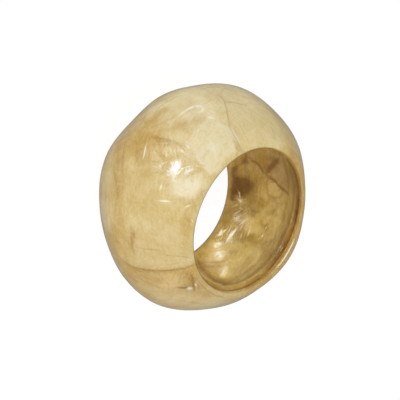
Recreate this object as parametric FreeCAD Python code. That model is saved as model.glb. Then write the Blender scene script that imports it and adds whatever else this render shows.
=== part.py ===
import FreeCAD, Part
import math
import os

# Napkin ring: one moulded body, a thick barrel-shaped band of laminated shell and clear resin.
# Millimetres. +Z up, the foot rim stands on z = 0, origin under the middle of the ring.

# --- driving dimensions -------------------------------------------------------------------
BELLY_R = 29.97                      # largest radius of the belly curve
BELLY_HALF = 25.30                   # half height of the belly curve before the rims cut it
BELLY_POWER = 1.787                  # 2 would be an ellipse, lower is more pointed
BELLY_CENTRE = (-1.02, 1.65, 0.02)   # centre of the belly curve, hand made and a little off axis

MOUTH_MID = 17.11                    # height of the mouth plane on the axis
MOUTH_LEAN = (-0.0840, 0.0581)       # slope of the mouth plane
MOUTH_R = 18.70                      # inner edge of the mouth lip
LIP_ROUND = 0.70                     # height of the outer rounding of the lip
LIP_EDGE = 0.35                      # rounding of the lip's inner edge

FOOT_MID = -15.83                    # height of the foot plane on the axis
FOOT_LEAN = (0.0690, -0.0388)        # slope of the foot plane
FOOT_R = 20.15                       # inner edge of the foot rim
FOOT_CENTRE = (0.52, 0.42)
FOOT_EDGE = 0.32                     # rounding of both edges of the foot rim

WALL_MID = 2.9                       # wall at the belly, square to the surface
WALL_RIM = 1.5                       # wall beside the rims

GROOVE_DEEP = 0.55                   # groove between the lip and the lining
LINING_DROP = 2.36                   # the lining's rounded edge lies this far below the mouth
LINING_R = 18.50                     # radius at the lining's edge
LINING_SHIFT = (0.0, 0.60)           # the lining's edge is a little off the axis too
LINING_FADE = 1.65                   # height over which the edge fades into the wall
FOOT_FADE = 3.2                      # height over which the foot edge fades into the wall

# hand-shaped lumps of the outer face: angle in degrees, height, rise
LUMPS = (
    (31.0, 15.7, -0.48), (16.0, 15.5, -0.41), (1.0, 15.1, 0.28), (346.5, 14.9, 0.69),
    (331.0, 14.7, 0.42), (305.0, 11.2, 0.17), (283.5, 5.6, -0.15), (262.0, 0.2, 0.18),
    (250.0, -1.9, 0.15), (229.0, -6.9, -0.22), (218.0, -8.4, -0.35), (207.5, -10.2, -0.23),
    (196.5, -11.5, -0.14), (185.5, -12.5, 0.21), (173.5, -12.4, 0.44), (162.5, -11.8, 0.33),
    (152.0, -10.9, -0.35), (142.0, -9.4, -0.12), (132.0, -7.9, 0.46), (122.5, -5.7, -0.11),
    (113.5, -3.0, -0.20), (103.5, -0.6, 0.15), (93.0, 1.4, 0.16), (74.0, 7.2, -0.13),
    (64.0, 9.7, 0.25), (43.5, 14.3, -0.48),
)
LUMP_WIDE = 9.0                      # spread of a lump in degrees
LUMP_TALL = 5.2                      # spread of a lump in height
LIP_LUMP = (180.0, 18.4, 0.55, 30.0, 3.0)   # fuller lip on one side: angle, height, rise, spreads

AROUND = 72                          # sections round the ring
OFFSET = (1.65, 1.03)                 # moves the standing ring's middle onto the origin


# --- the form -----------------------------------------------------------------------------
def smooth(t):
    t = min(1.0, max(0.0, t))
    return t * t * (3.0 - 2.0 * t)


def mouth_z(x, y):
    return MOUTH_MID + MOUTH_LEAN[0] * x + MOUTH_LEAN[1] * y


def foot_z(x, y):
    return FOOT_MID + FOOT_LEAN[0] * x + FOOT_LEAN[1] * y


def circle(a, centre, r):
    """Distance from the axis, at angle a, of a circle with its centre beside the axis."""
    along = centre[0] * math.cos(a) + centre[1] * math.sin(a)
    return along + math.sqrt(max(1.0, r * r - centre[0] ** 2 - centre[1] ** 2 + along * along))


def turn(a, b):
    """Angle from b to a in degrees, -180 to 180."""
    return (a - b + 180.0) % 360.0 - 180.0


def outer(a, z):
    u = abs((z - BELLY_CENTRE[2]) / BELLY_HALF)
    rho = BELLY_R * max(0.001, 1.0 - u ** BELLY_POWER) ** (1.0 / BELLY_POWER)
    r = circle(a, BELLY_CENTRE, rho)
    deg = math.degrees(a)
    for at, high, rise in LUMPS:
        r += rise * math.exp(-0.5 * ((turn(deg, at) / LUMP_WIDE) ** 2 + ((z - high) / LUMP_TALL) ** 2))
    at, high, rise, wide, tall = LIP_LUMP
    return r + rise * math.exp(-0.5 * ((turn(deg, at) / wide) ** 2 + ((z - high) / tall) ** 2))


def lining(a, z, drop, lift):
    """Inner radius: drop is the depth below the mouth plane, lift the height over the foot plane."""
    slope = (outer(a, z + 0.4) - outer(a, z - 0.4)) / 0.8
    wall = WALL_RIM + (WALL_MID - WALL_RIM) * smooth(drop / 9.0) * smooth(lift / 9.0)
    r = outer(a, z) - wall * math.sqrt(1.0 + slope * slope)
    edge = circle(a, LINING_SHIFT, LINING_R)
    if drop < LINING_DROP:
        t = drop / LINING_DROP
        r = MOUTH_R + (edge - MOUTH_R) * smooth(t) + GROOVE_DEEP * math.sin(math.pi * t) ** 2
    elif drop < LINING_DROP + LINING_FADE:
        t = smooth((drop - LINING_DROP) / LINING_FADE)
        r = edge + (r - edge) * t
    if lift < FOOT_FADE:
        t = smooth(lift / FOOT_FADE)
        foot = circle(a, FOOT_CENTRE, FOOT_R)
        r = foot + (r - foot) * t
    return r


def bend(p, corner, q, t):
    """Point t of a smooth bend from p to q that rounds off the corner."""
    u = 1.0 - t
    return tuple(u * u * p[i] + 2.0 * u * t * corner[i] + t * t * q[i] for i in range(2))


def section(a):
    """One closed-up section at angle a, from the foot's outer edge over the lip to its inner edge."""
    c, s = math.cos(a), math.sin(a)
    at_mouth = lambda r: mouth_z(r * c, r * s)
    at_foot = lambda r: foot_z(r * c, r * s)
    pts = []
    # where the outer face meets the foot plane and the mouth plane
    low, high = at_foot(22.0), at_mouth(20.5)
    for _ in range(8):
        low, high = at_foot(outer(a, low)), at_mouth(outer(a, high))
    # foot, outer edge
    r_low = outer(a, low)
    start = (outer(a, low + FOOT_EDGE), low + FOOT_EDGE)
    land = (r_low - FOOT_EDGE, at_foot(r_low - FOOT_EDGE))
    for k in range(4):
        pts.append(bend(land, (r_low, low), start, k / 4.0))
    # outer wall
    top = high - LIP_ROUND
    for k in range(19):
        z = start[1] + (top - start[1]) * k / 18.0
        pts.append((outer(a, z), z))
    # lip, outer rounding, crest and inner edge
    r_high = outer(a, high)
    r = MOUTH_R + LIP_EDGE + 0.2 * (r_high - MOUTH_R - LIP_EDGE)
    for k in range(1, 6):
        pts.append(bend(pts[22], (r_high, high), (r, at_mouth(r)), k / 5.0))
    for k in range(1, 4):
        b = math.radians(90.0 * k / 3.0)
        r = MOUTH_R + LIP_EDGE * (1.0 - math.sin(b))
        pts.append((r, at_mouth(r) - LIP_EDGE * (1.0 - math.cos(b))))
    # groove and lining edge
    z_top = at_mouth(MOUTH_R)
    z_low = at_foot(FOOT_R)
    for drop in (0.62, 0.92, 1.22, 1.52, 1.82, 2.10, 2.36, 2.62, 2.92, 3.25, 3.62, 4.01):
        z = z_top - drop
        pts.append((lining(a, z, drop, z - z_low), z))
    # inner wall
    start, end = z_top - 4.01, z_low + FOOT_EDGE
    for k in range(1, 17):
        z = start + (end - start) * k / 16.0
        pts.append((lining(a, z, z_top - z, z - z_low - FOOT_EDGE), z))
    # foot, inner edge
    r_in = pts[-1][0]
    for k in range(1, 6):
        b = math.radians(90.0 * k / 5.0)
        r = r_in + FOOT_EDGE * (1.0 - math.cos(b))
        pts.append((r, at_foot(r) + FOOT_EDGE * (1.0 - math.sin(b))))
    return pts


def stand(x, y, z):
    """Turns the foot plane level, brings the lower side of the mouth to the back, and sets the foot on z = 0."""
    n = (-FOOT_LEAN[0], -FOOT_LEAN[1], 1.0)
    size = math.sqrt(n[0] ** 2 + n[1] ** 2 + 1.0)
    n = tuple(v / size for v in n)
    # rotation that takes n to +Z
    ax, ay = n[1], -n[0]
    si = math.hypot(ax, ay)
    co = n[2]
    ax, ay = ax / si, ay / si
    dot = ax * x + ay * y
    cx, cy, cz = ay * z, -ax * z, ax * y - ay * x
    x, y, z = (x * co + cx * si + ax * dot * (1 - co),
               y * co + cy * si + ay * dot * (1 - co),
               z * co + cz * si)
    return (-y + OFFSET[0], x + OFFSET[1], z - FOOT_MID * n[2])


# --- one smooth closed surface through the sections ---------------------------------------
def solve(m, rhs):
    """Solves m x = rhs for many right-hand sides at once."""
    n = len(m)
    m = [row[:] for row in m]
    rhs = [row[:] for row in rhs]
    for i in range(n):
        p = max(range(i, n), key=lambda k: abs(m[k][i]))
        m[i], m[p] = m[p], m[i]
        rhs[i], rhs[p] = rhs[p], rhs[i]
        for k in range(i + 1, n):
            f = m[k][i] / m[i][i]
            if f:
                m[k] = [u - f * v for u, v in zip(m[k], m[i])]
                rhs[k] = [u - f * v for u, v in zip(rhs[k], rhs[i])]
    for i in range(n - 1, -1, -1):
        for k in range(i + 1, n):
            f = m[i][k]
            if f:
                rhs[i] = [u - f * v for u, v in zip(rhs[i], rhs[k])]
        rhs[i] = [u / m[i][i] for u in rhs[i]]
    return rhs


def basis(knots, i, p, t):
    if p == 0:
        last = t == knots[-1] and knots[i] < t and knots[i + 1] == t
        return 1.0 if knots[i] <= t < knots[i + 1] or last else 0.0
    left = knots[i + p] - knots[i]
    right = knots[i + p + 1] - knots[i + 1]
    value = 0.0
    if left:
        value += (t - knots[i]) / left * basis(knots, i, p - 1, t)
    if right:
        value += (knots[i + p + 1] - t) / right * basis(knots, i + 1, p - 1, t)
    return value


rows = []
for i in range(AROUND):
    a = 2.0 * math.pi * i / AROUND
    rows.append([stand(r * math.cos(a), r * math.sin(a), z) for r, z in section(a)])

count = len(rows[0])
# parameters along the section from the mean distance between its points
steps = [sum(math.dist(row[j], row[j + 1]) for row in rows) / AROUND for j in range(count - 1)]
total = sum(steps)
params = [0.0]
for step in steps:
    params.append(params[-1] + step / total)
params[-1] = 1.0
inner_knots = [sum(params[j:j + 3]) / 3.0 for j in range(1, count - 3)]
flat = [0.0] * 4 + inner_knots + [1.0] * 4

across = [[basis(flat, j, 3, t) for j in range(count)] for t in params]
flat_rows = [[v for row in rows for v in row[j]] for j in range(count)]
solved = solve(across, flat_rows)                      # count x (AROUND * 3)

around = [[0.0] * AROUND for _ in range(AROUND)]
for i in range(AROUND):
    around[i][(i - 1) % AROUND] += 1.0 / 6.0
    around[i][i] += 4.0 / 6.0
    around[i][(i + 1) % AROUND] += 1.0 / 6.0
columns = [[v for j in range(count) for v in solved[j][3 * i:3 * i + 3]] for i in range(AROUND)]
poles = solve(around, columns)                         # AROUND x (count * 3)
poles = [[FreeCAD.Vector(*row[3 * j:3 * j + 3]) for j in range(count)] for row in poles]

surface = Part.BSplineSurface()
surface.buildFromPolesMultsKnots(
    poles, [1] * (AROUND + 1), [4] + [1] * (count - 4) + [4],
    [float(i) for i in range(AROUND + 1)], [0.0] + inner_knots + [1.0],
    True, False, 3, 3)
skin = surface.toShape()

# --- the flat foot rim closes the body ----------------------------------------------------
rims = [e for e in skin.Edges if e.BoundBox.ZLength < 0.01]
rims.sort(key=lambda e: e.BoundBox.DiagonalLength, reverse=True)
land = Part.Face([Part.Wire([rims[0]]), Part.Wire([rims[-1]])])
ring = Part.Solid(Part.makeShell([skin, land]))
if ring.Volume < 0:
    ring.reverse()
ring.fix(1e-6, 1e-6, 1e-4)

os.makedirs("parts", exist_ok=True)
ring.exportStep("parts/ring_body.step")
box = ring.BoundBox
print("valid", ring.isValid(), "faces", len(ring.Faces), "volume", round(ring.Volume, 1))
print("x %.3f %.3f  y %.3f %.3f  z %.3f %.3f" % (box.XMin, box.XMax, box.YMin, box.YMax, box.ZMin, box.ZMax))
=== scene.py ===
import math
import bpy
import numpy as np
from mathutils import Matrix, Vector


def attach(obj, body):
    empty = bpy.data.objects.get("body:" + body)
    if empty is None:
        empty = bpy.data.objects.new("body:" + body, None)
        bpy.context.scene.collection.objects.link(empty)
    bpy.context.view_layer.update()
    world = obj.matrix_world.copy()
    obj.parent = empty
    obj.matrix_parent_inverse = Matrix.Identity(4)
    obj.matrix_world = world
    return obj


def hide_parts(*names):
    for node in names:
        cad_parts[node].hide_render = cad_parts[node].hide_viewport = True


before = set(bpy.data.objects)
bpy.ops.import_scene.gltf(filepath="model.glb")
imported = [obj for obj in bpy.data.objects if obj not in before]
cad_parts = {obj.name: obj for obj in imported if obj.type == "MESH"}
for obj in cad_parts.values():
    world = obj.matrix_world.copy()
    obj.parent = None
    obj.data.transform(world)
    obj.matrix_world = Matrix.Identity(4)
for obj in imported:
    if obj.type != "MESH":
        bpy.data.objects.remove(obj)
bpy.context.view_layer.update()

# ------------------------------------------------------------------------------------------
# The ring's form, in millimetres, in the frame of its own belly. "stand" sets it on its foot.
# ------------------------------------------------------------------------------------------
BELLY_R, BELLY_HALF, BELLY_POWER = 29.97, 25.30, 1.787
BELLY_CENTRE = (-1.02, 1.65, 0.02)
MOUTH_MID, MOUTH_LEAN, MOUTH_R = 17.11, (-0.0840, 0.0581), 18.70
LIP_ROUND, LIP_EDGE = 0.70, 0.35
FOOT_MID, FOOT_LEAN, FOOT_R = -15.83, (0.0690, -0.0388), 20.15
FOOT_CENTRE, FOOT_EDGE = (0.52, 0.42), 0.32
WALL_MID, WALL_RIM = 2.9, 1.5
GROOVE_DEEP, LINING_DROP, LINING_R = 0.55, 2.36, 18.50
LINING_SHIFT, LINING_FADE, FOOT_FADE = (0.0, 0.60), 1.65, 3.2
LUMPS = (
    (31.0, 15.7, -0.48), (16.0, 15.5, -0.41), (1.0, 15.1, 0.28), (346.5, 14.9, 0.69),
    (331.0, 14.7, 0.42), (305.0, 11.2, 0.17), (283.5, 5.6, -0.15), (262.0, 0.2, 0.18),
    (250.0, -1.9, 0.15), (229.0, -6.9, -0.22), (218.0, -8.4, -0.35), (207.5, -10.2, -0.23),
    (196.5, -11.5, -0.14), (185.5, -12.5, 0.21), (173.5, -12.4, 0.44), (162.5, -11.8, 0.33),
    (152.0, -10.9, -0.35), (142.0, -9.4, -0.12), (132.0, -7.9, 0.46), (122.5, -5.7, -0.11),
    (113.5, -3.0, -0.20), (103.5, -0.6, 0.15), (93.0, 1.4, 0.16), (74.0, 7.2, -0.13),
    (64.0, 9.7, 0.25), (43.5, 14.3, -0.48),
)
LUMP_WIDE, LUMP_TALL = 9.0, 5.2
LIP_LUMP = (180.0, 18.4, 0.55, 30.0, 3.0)
OFFSET = (1.65, 1.03)

AROUND = 432                                    # columns of the mesh
N_WALL, N_LIP, N_EDGE, N_GROOVE, N_INNER, N_LAND = 92, 10, 5, 20, 84, 4


def smooth(t):
    t = np.clip(t, 0.0, 1.0)
    return t * t * (3.0 - 2.0 * t)


def mouth_z(x, y):
    return MOUTH_MID + MOUTH_LEAN[0] * x + MOUTH_LEAN[1] * y


def foot_z(x, y):
    return FOOT_MID + FOOT_LEAN[0] * x + FOOT_LEAN[1] * y


def circle(a, centre, r):
    along = centre[0] * np.cos(a) + centre[1] * np.sin(a)
    return along + np.sqrt(np.maximum(1.0, r * r - centre[0] ** 2 - centre[1] ** 2 + along * along))


def turn(a, b):
    return (a - b + 180.0) % 360.0 - 180.0


def outer(a, z):
    u = np.abs((z - BELLY_CENTRE[2]) / BELLY_HALF)
    rho = BELLY_R * np.maximum(0.001, 1.0 - u ** BELLY_POWER) ** (1.0 / BELLY_POWER)
    r = circle(a, BELLY_CENTRE, rho)
    deg = np.degrees(a)
    for at, high, rise in LUMPS:
        r = r + rise * np.exp(-0.5 * ((turn(deg, at) / LUMP_WIDE) ** 2 + ((z - high) / LUMP_TALL) ** 2))
    at, high, rise, wide, tall = LIP_LUMP
    return r + rise * np.exp(-0.5 * ((turn(deg, at) / wide) ** 2 + ((z - high) / tall) ** 2))


def lining(a, z, drop, lift):
    slope = (outer(a, z + 0.4) - outer(a, z - 0.4)) / 0.8
    wall = WALL_RIM + (WALL_MID - WALL_RIM) * smooth(drop / 9.0) * smooth(lift / 9.0)
    r = outer(a, z) - wall * np.sqrt(1.0 + slope * slope)
    edge = circle(a, LINING_SHIFT, LINING_R)
    t = drop / LINING_DROP
    groove = MOUTH_R + (edge - MOUTH_R) * smooth(t) + GROOVE_DEEP * np.sin(np.pi * t) ** 2
    r = np.where(drop < LINING_DROP, groove, edge + (r - edge) * smooth((drop - LINING_DROP) / LINING_FADE))
    foot = circle(a, FOOT_CENTRE, FOOT_R)
    return foot + (r - foot) * smooth(lift / FOOT_FADE)


def bend(p, corner, q, t):
    u = 1.0 - t
    return tuple(u * u * p[i] + 2.0 * u * t * corner[i] + t * t * q[i] for i in range(2))


def section(a):
    """Rows of r and z round the angles a, from the foot over the outer face, lip and lining back to the foot.
    zone: 0 foot edge, 1 outer face, 2 lip, 3 lip's inner edge, 4 groove and lining edge, 5 lining, 6 foot edge, 7 foot."""
    c, s = np.cos(a), np.sin(a)
    at_mouth = lambda r: mouth_z(r * c, r * s)
    at_foot = lambda r: foot_z(r * c, r * s)
    rows, zone = [], []

    def add(r, z, kind):
        rows.append((r + 0.0 * a, z + 0.0 * a))
        zone.append(kind)

    low, high = at_foot(22.0), at_mouth(20.5)
    for _ in range(10):
        low, high = at_foot(outer(a, low)), at_mouth(outer(a, high))
    r_low = outer(a, low)
    start = (outer(a, low + FOOT_EDGE), low + FOOT_EDGE)
    land = (r_low - FOOT_EDGE, at_foot(r_low - FOOT_EDGE))
    for k in range(4):
        add(*bend(land, (r_low, low), start, k / 4.0), 0)
    top = high - LIP_ROUND
    for k in range(N_WALL + 1):
        z = start[1] + (top - start[1]) * k / N_WALL
        add(outer(a, z), z, 1)
    last = rows[-1]
    r_high = outer(a, high)
    r = MOUTH_R + LIP_EDGE + 0.2 * (r_high - MOUTH_R - LIP_EDGE)
    for k in range(1, N_LIP + 1):
        add(*bend(last, (r_high, high), (r, at_mouth(r)), k / N_LIP), 2)
    for k in range(1, N_EDGE + 1):
        b = math.pi / 2 * k / N_EDGE
        r = MOUTH_R + LIP_EDGE * (1.0 - math.sin(b)) + 0.0 * a
        add(r, at_mouth(r) - LIP_EDGE * (1.0 - math.cos(b)), 3)
    z_top, z_low = at_mouth(MOUTH_R), at_foot(FOOT_R)
    for k in range(1, N_GROOVE + 1):
        drop = LIP_EDGE + (4.01 - LIP_EDGE) * k / N_GROOVE
        add(lining(a, z_top - drop, drop, z_top - drop - z_low), z_top - drop, 4)
    first, end = z_top - 4.01, z_low + FOOT_EDGE
    for k in range(1, N_INNER + 1):
        z = first + (end - first) * k / N_INNER
        add(lining(a, z, z_top - z, z - z_low - FOOT_EDGE), z, 5)
    r_in = rows[-1][0]
    for k in range(1, 5):
        b = math.pi / 2 * k / 4.0
        r = r_in + FOOT_EDGE * (1.0 - math.cos(b))
        add(r, at_foot(r) + FOOT_EDGE * (1.0 - math.sin(b)), 6)
    r0, r1 = rows[-1][0], rows[0][0]
    for k in range(1, N_LAND):
        r = r0 + (r1 - r0) * k / N_LAND
        add(r, at_foot(r), 7)
    return np.array([p[0] for p in rows]), np.array([p[1] for p in rows]), np.array(zone)


NORMAL = np.array([-FOOT_LEAN[0], -FOOT_LEAN[1], 1.0])
NORMAL /= np.linalg.norm(NORMAL)


def level():
    n = NORMAL
    axis = np.array([n[1], -n[0], 0.0])
    si = np.linalg.norm(axis)
    axis /= si
    k = np.array([[0, -axis[2], axis[1]], [axis[2], 0, -axis[0]], [-axis[1], axis[0], 0]])
    r = np.eye(3) + si * k + (1.0 - n[2]) * k @ k
    return np.array([[0.0, -1.0, 0.0], [1.0, 0.0, 0.0], [0.0, 0.0, 1.0]]) @ r


LEVEL = level()
SHIFT = np.array([OFFSET[0], OFFSET[1], -FOOT_MID * NORMAL[2]])


def stand(p):
    return p @ LEVEL.T + SHIFT


# ------------------------------------------------------------------------------------------
# Noise, strokes and patches over the surface
# ------------------------------------------------------------------------------------------
def lattice(ix, iy, iz, seed):
    n = (ix * 374761393 + iy * 668265263 + iz * 1274126177 + seed * 974634777) & 0xFFFFFFFF
    n = ((n ^ (n >> 13)) * 1103515245) & 0xFFFFFFFF
    n = ((n ^ (n >> 15)) * 2246822519) & 0xFFFFFFFF
    return ((n ^ (n >> 16)) & 0xFFFF) / 65535.0


def value_noise(p, size, seed):
    q = p / size + 1000.0
    i = np.floor(q).astype(np.int64)
    f = q - i
    f = f * f * f * (f * (f * 6.0 - 15.0) + 10.0)
    out = 0.0
    for dx in (0, 1):
        for dy in (0, 1):
            for dz in (0, 1):
                w = ((f[..., 0] if dx else 1 - f[..., 0]) * (f[..., 1] if dy else 1 - f[..., 1])
                     * (f[..., 2] if dz else 1 - f[..., 2]))
                out = out + w * lattice(i[..., 0] + dx, i[..., 1] + dy, i[..., 2] + dz, seed)
    return 2.0 * out - 1.0


def fbm(p, size, seed, octaves=4, gain=0.5):
    total, amount, norm = 0.0, 1.0, 0.0
    for k in range(octaves):
        total = total + amount * value_noise(p, size / 2.0 ** k, seed + 17 * k)
        norm += amount
        amount *= gain
    return total / norm


a_line = np.arange(AROUND) * 2.0 * np.pi / AROUND
R, Z, ZONE = section(a_line)
ROWS = len(ZONE)
ANG = np.broadcast_to(a_line, R.shape)
DEG = np.degrees(ANG)
P = np.stack([R * np.cos(ANG), R * np.sin(ANG), Z], -1)
zone = np.broadcast_to(ZONE[:, None], R.shape)
OUT = (zone <= 2)
INN = (zone >= 4) & (zone <= 5)

du = np.roll(P, -1, 1) - np.roll(P, 1, 1)
dv = np.roll(P, -1, 0) - np.roll(P, 1, 0)
N = np.cross(du, dv)
N /= np.maximum(1e-9, np.linalg.norm(N, axis=-1, keepdims=True))


def place(points, side):
    """3D points of a line given as (degrees, height) on the outer face or on the lining."""
    out = []
    for (d0, z0), (d1, z1) in zip(points[:-1], points[1:]):
        dd = turn(d1, d0)
        steps = max(2, int(abs(dd) / 1.0) + int(abs(z1 - z0) / 0.5) + 1)
        for k in range(steps):
            t = k / steps
            out.append((d0 + dd * t, z0 + (z1 - z0) * t))
    out.append(points[-1])
    d = np.radians(np.array([p[0] for p in out]))
    z = np.array([p[1] for p in out])
    if side == "out":
        r = outer(d, z)
    else:
        r = lining(d, z, mouth_z(18.7 * np.cos(d), 18.7 * np.sin(d)) - z, z - foot_z(20.2 * np.cos(d), 20.2 * np.sin(d)))
    return np.stack([r * np.cos(d), r * np.sin(d), z], -1)


def along(points, side="out", wobble=0.0, seed=1):
    """Distance in mm from every vertex to the line, and how far along it the nearest point lies, 0..1."""
    line = place(points, side)
    if wobble:
        line = line + wobble * np.stack([fbm(line + 31.0 * k, 2.4, seed + k, 3) for k in range(3)], -1)
    best = np.full(R.shape, 1e9)
    where = np.zeros(R.shape)
    seg = line[1:] - line[:-1]
    length = np.maximum(1e-9, (seg ** 2).sum(-1))
    for k in range(len(seg)):
        v = P - line[k]
        t = np.clip((v @ seg[k]) / length[k], 0.0, 1.0)
        d = np.linalg.norm(v - t[..., None] * seg[k], axis=-1)
        hit = d < best
        best = np.where(hit, d, best)
        where = np.where(hit, (k + t) / len(seg), where)
    mask = OUT | (zone == 3) if side == "out" else INN
    return np.where(mask, best, 1e9), where


def stroke(points, width, side="out", wobble=0.0, seed=1, taper=0.0):
    d, t = along(points, side, wobble, seed)
    w = width
    if taper:
        w = width * (1.0 - taper + taper * np.sin(np.pi * np.clip(t, 0.02, 0.98)))
    return np.exp(-(d / np.maximum(w, 1e-3)) ** 2)


def patch(points, soft, side="out", ragged=0.6, seed=1, size=3.0):
    """0..1 inside a closed outline given as (degrees, height), with a soft and slightly ragged edge."""
    d0 = points[0][0]
    ring = np.array([(turn(d, d0) * 0.5, z) for d, z in points])          # about 0.5 mm to a degree
    x = turn(DEG, d0) * 0.5 + ragged * fbm(P, size, seed, 4)
    y = Z + ragged * fbm(P + 57.0, size, seed + 5, 4)
    inside = np.zeros(R.shape, bool)
    best = np.full(R.shape, 1e9)
    nxt = np.roll(ring, -1, 0)
    for (x0, y0), (x1, y1) in zip(ring, nxt):
        cond = ((y0 > y) != (y1 > y)) & (x < (x1 - x0) * (y - y0) / ((y1 - y0) if y1 != y0 else 1e-9) + x0)
        inside ^= cond
        ex, ey = x1 - x0, y1 - y0
        t = np.clip(((x - x0) * ex + (y - y0) * ey) / max(1e-9, ex * ex + ey * ey), 0, 1)
        best = np.minimum(best, np.hypot(x - x0 - t * ex, y - y0 - t * ey))
    s = np.where(inside, best, -best)
    mask = OUT | (zone == 3) if side == "out" else INN
    return np.where(mask, smooth(0.5 + s / (2.0 * soft)), 0.0)


# ------------------------------------------------------------------------------------------
# Flakes: how the shell laminate is divided, and which way each flake's fibres run
# ------------------------------------------------------------------------------------------
def mix(a, b, t):
    return a + (b - a) * t


def flakes(side, count, rows_of, seed, warp):
    """Index of each vertex's flake, its distance from the flake's edge (mm) and the flake seeds (degrees, height)."""
    rng = np.random.default_rng(seed)
    seeds = []
    for r in range(rows_of):
        for k in range(count):
            d = 360.0 * (k + 0.5 * (r % 2) + 0.62 * rng.uniform(-0.5, 0.5)) / count
            z = mix(-13.5, 17.0, (r + 0.5 + 0.7 * rng.uniform(-0.5, 0.5)) / rows_of)
            seeds.append((d % 360.0, z))
    d = np.radians([s[0] for s in seeds])
    z = np.array([s[1] for s in seeds])
    r = outer(d, z) if side == "out" else 24.0 + 0.0 * d
    centre = np.stack([r * np.cos(d), r * np.sin(d), z], -1)
    w = P + warp * np.stack([fbm(P + 91.0 * k, 8.0, seed + 3 * k, 4, 0.55) for k in range(3)], -1)
    first = np.full(R.shape, 1e9)
    second = np.full(R.shape, 1e9)
    index = np.zeros(R.shape, int)
    for k in range(len(seeds)):
        q = np.linalg.norm(w - centre[k], axis=-1)
        closer = q < first
        second = np.where(closer, first, np.minimum(second, q))
        index = np.where(closer, k, index)
        first = np.where(closer, q, first)
    return index, 0.5 * (second - first), seeds, rng


out_index, out_edge, out_seeds, out_rng = flakes("out", 9, 3, 41, 3.2)
in_index, in_edge, in_seeds, in_rng = flakes("in", 8, 2, 67, 3.0)
n_out, n_in = len(out_seeds), len(in_seeds)

grain = np.zeros(R.shape + (3,))
light = np.zeros(R.shape)                       # lighter or darker flake, -1..1
warm = np.zeros(R.shape)                        # more golden or milkier flake, -1..1
tilt = np.zeros(R.shape)                        # turn of each flake's gloss


def comb(where, at, angle, number, reach=27.0):
    """Fibre coordinates in mm, along and across, for the vertices of one flake."""
    s = np.radians(turn(DEG, at[0])) * reach
    t = Z - at[1]
    c, k = math.cos(angle), math.sin(angle)
    grain[where] = np.stack([s * c + t * k, t * c - s * k, 0.0 * s + number * 13.7], -1)[where]


def fan(where, at, number, reach=27.0, spread=7.0):
    """The same for a flake whose fibres spread out from a point."""
    s = np.radians(turn(DEG, at[0])) * reach
    t = Z - at[1]
    q = np.hypot(s, t)
    grain[where] = np.stack([q, np.arctan2(t, s) * spread, 0.0 * s + number * 13.7], -1)[where]


for k, at in enumerate(out_seeds):
    where = OUT & (out_index == k)
    comb(where, at, out_rng.uniform(-0.5, 1.3), k + 1)
    light[where], warm[where] = out_rng.uniform(-1, 1), out_rng.uniform(-1, 1)
    tilt[where] = out_rng.uniform(-1, 1)
for k, at in enumerate(in_seeds):
    where = (zone >= 3) & (in_index == k)
    comb(where, at, in_rng.uniform(-0.8, 0.8), k + 51, 23.0)
    light[where], warm[where] = in_rng.uniform(-1, 1), in_rng.uniform(-1, 1)
    tilt[where] = in_rng.uniform(-1, 1)

# the flakes that lie in front
LOW_SEAM = [(221.2, 0.6), (222.8, 1.9), (224.8, 3.8), (226.0, 5.6), (227.2, 9.3), (228.5, 12.6), (228.8, 15.1),
            (228.3, 16.5), (227.6, 17.6)]
RIGHT_SEAM = [(118.0, 6.6), (119.2, 9.0), (121.2, 10.9), (124.4, 13.0), (127.4, 14.9), (128.2, 16.1), (128.4, 17.2),
              (129.3, 18.3), (129.4, 19.1)]
low_flake = patch([(221.2, 0.6)] + LOW_SEAM[1:] + [(240.0, 20.0), (268.0, 19.0), (264.0, 2.0), (246.0, -5.0), (231.0, -4.6)],
                  0.25, ragged=0.1, seed=5)
right_flake = patch(RIGHT_SEAM + [(110.0, 20.5), (66.0, 20.0), (60.0, 9.0), (76.0, 3.0), (96.0, 2.0), (110.0, 3.6)], 0.25,
                    ragged=0.1, seed=6)
front = OUT & (turn(DEG, 172.0) > -52.0) & (turn(DEG, 172.0) < 52.0)
fan(right_flake > 0.5, (121.0, 8.0), 81)
fan(low_flake > 0.5, (247.0, 14.0), 82)
comb(front & (low_flake < 0.5) & (right_flake < 0.5), (180.0, 4.0), 0.22, 83)
calm = smooth((62.0 - np.abs(turn(DEG, 172.0))) / 14.0) * OUT            # 1 in front, where the flakes are set one by one
calm_in = smooth((60.0 - np.abs(turn(DEG, 5.0))) / 14.0) * (zone >= 3)
calm_all = np.maximum(calm, calm_in)
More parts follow.
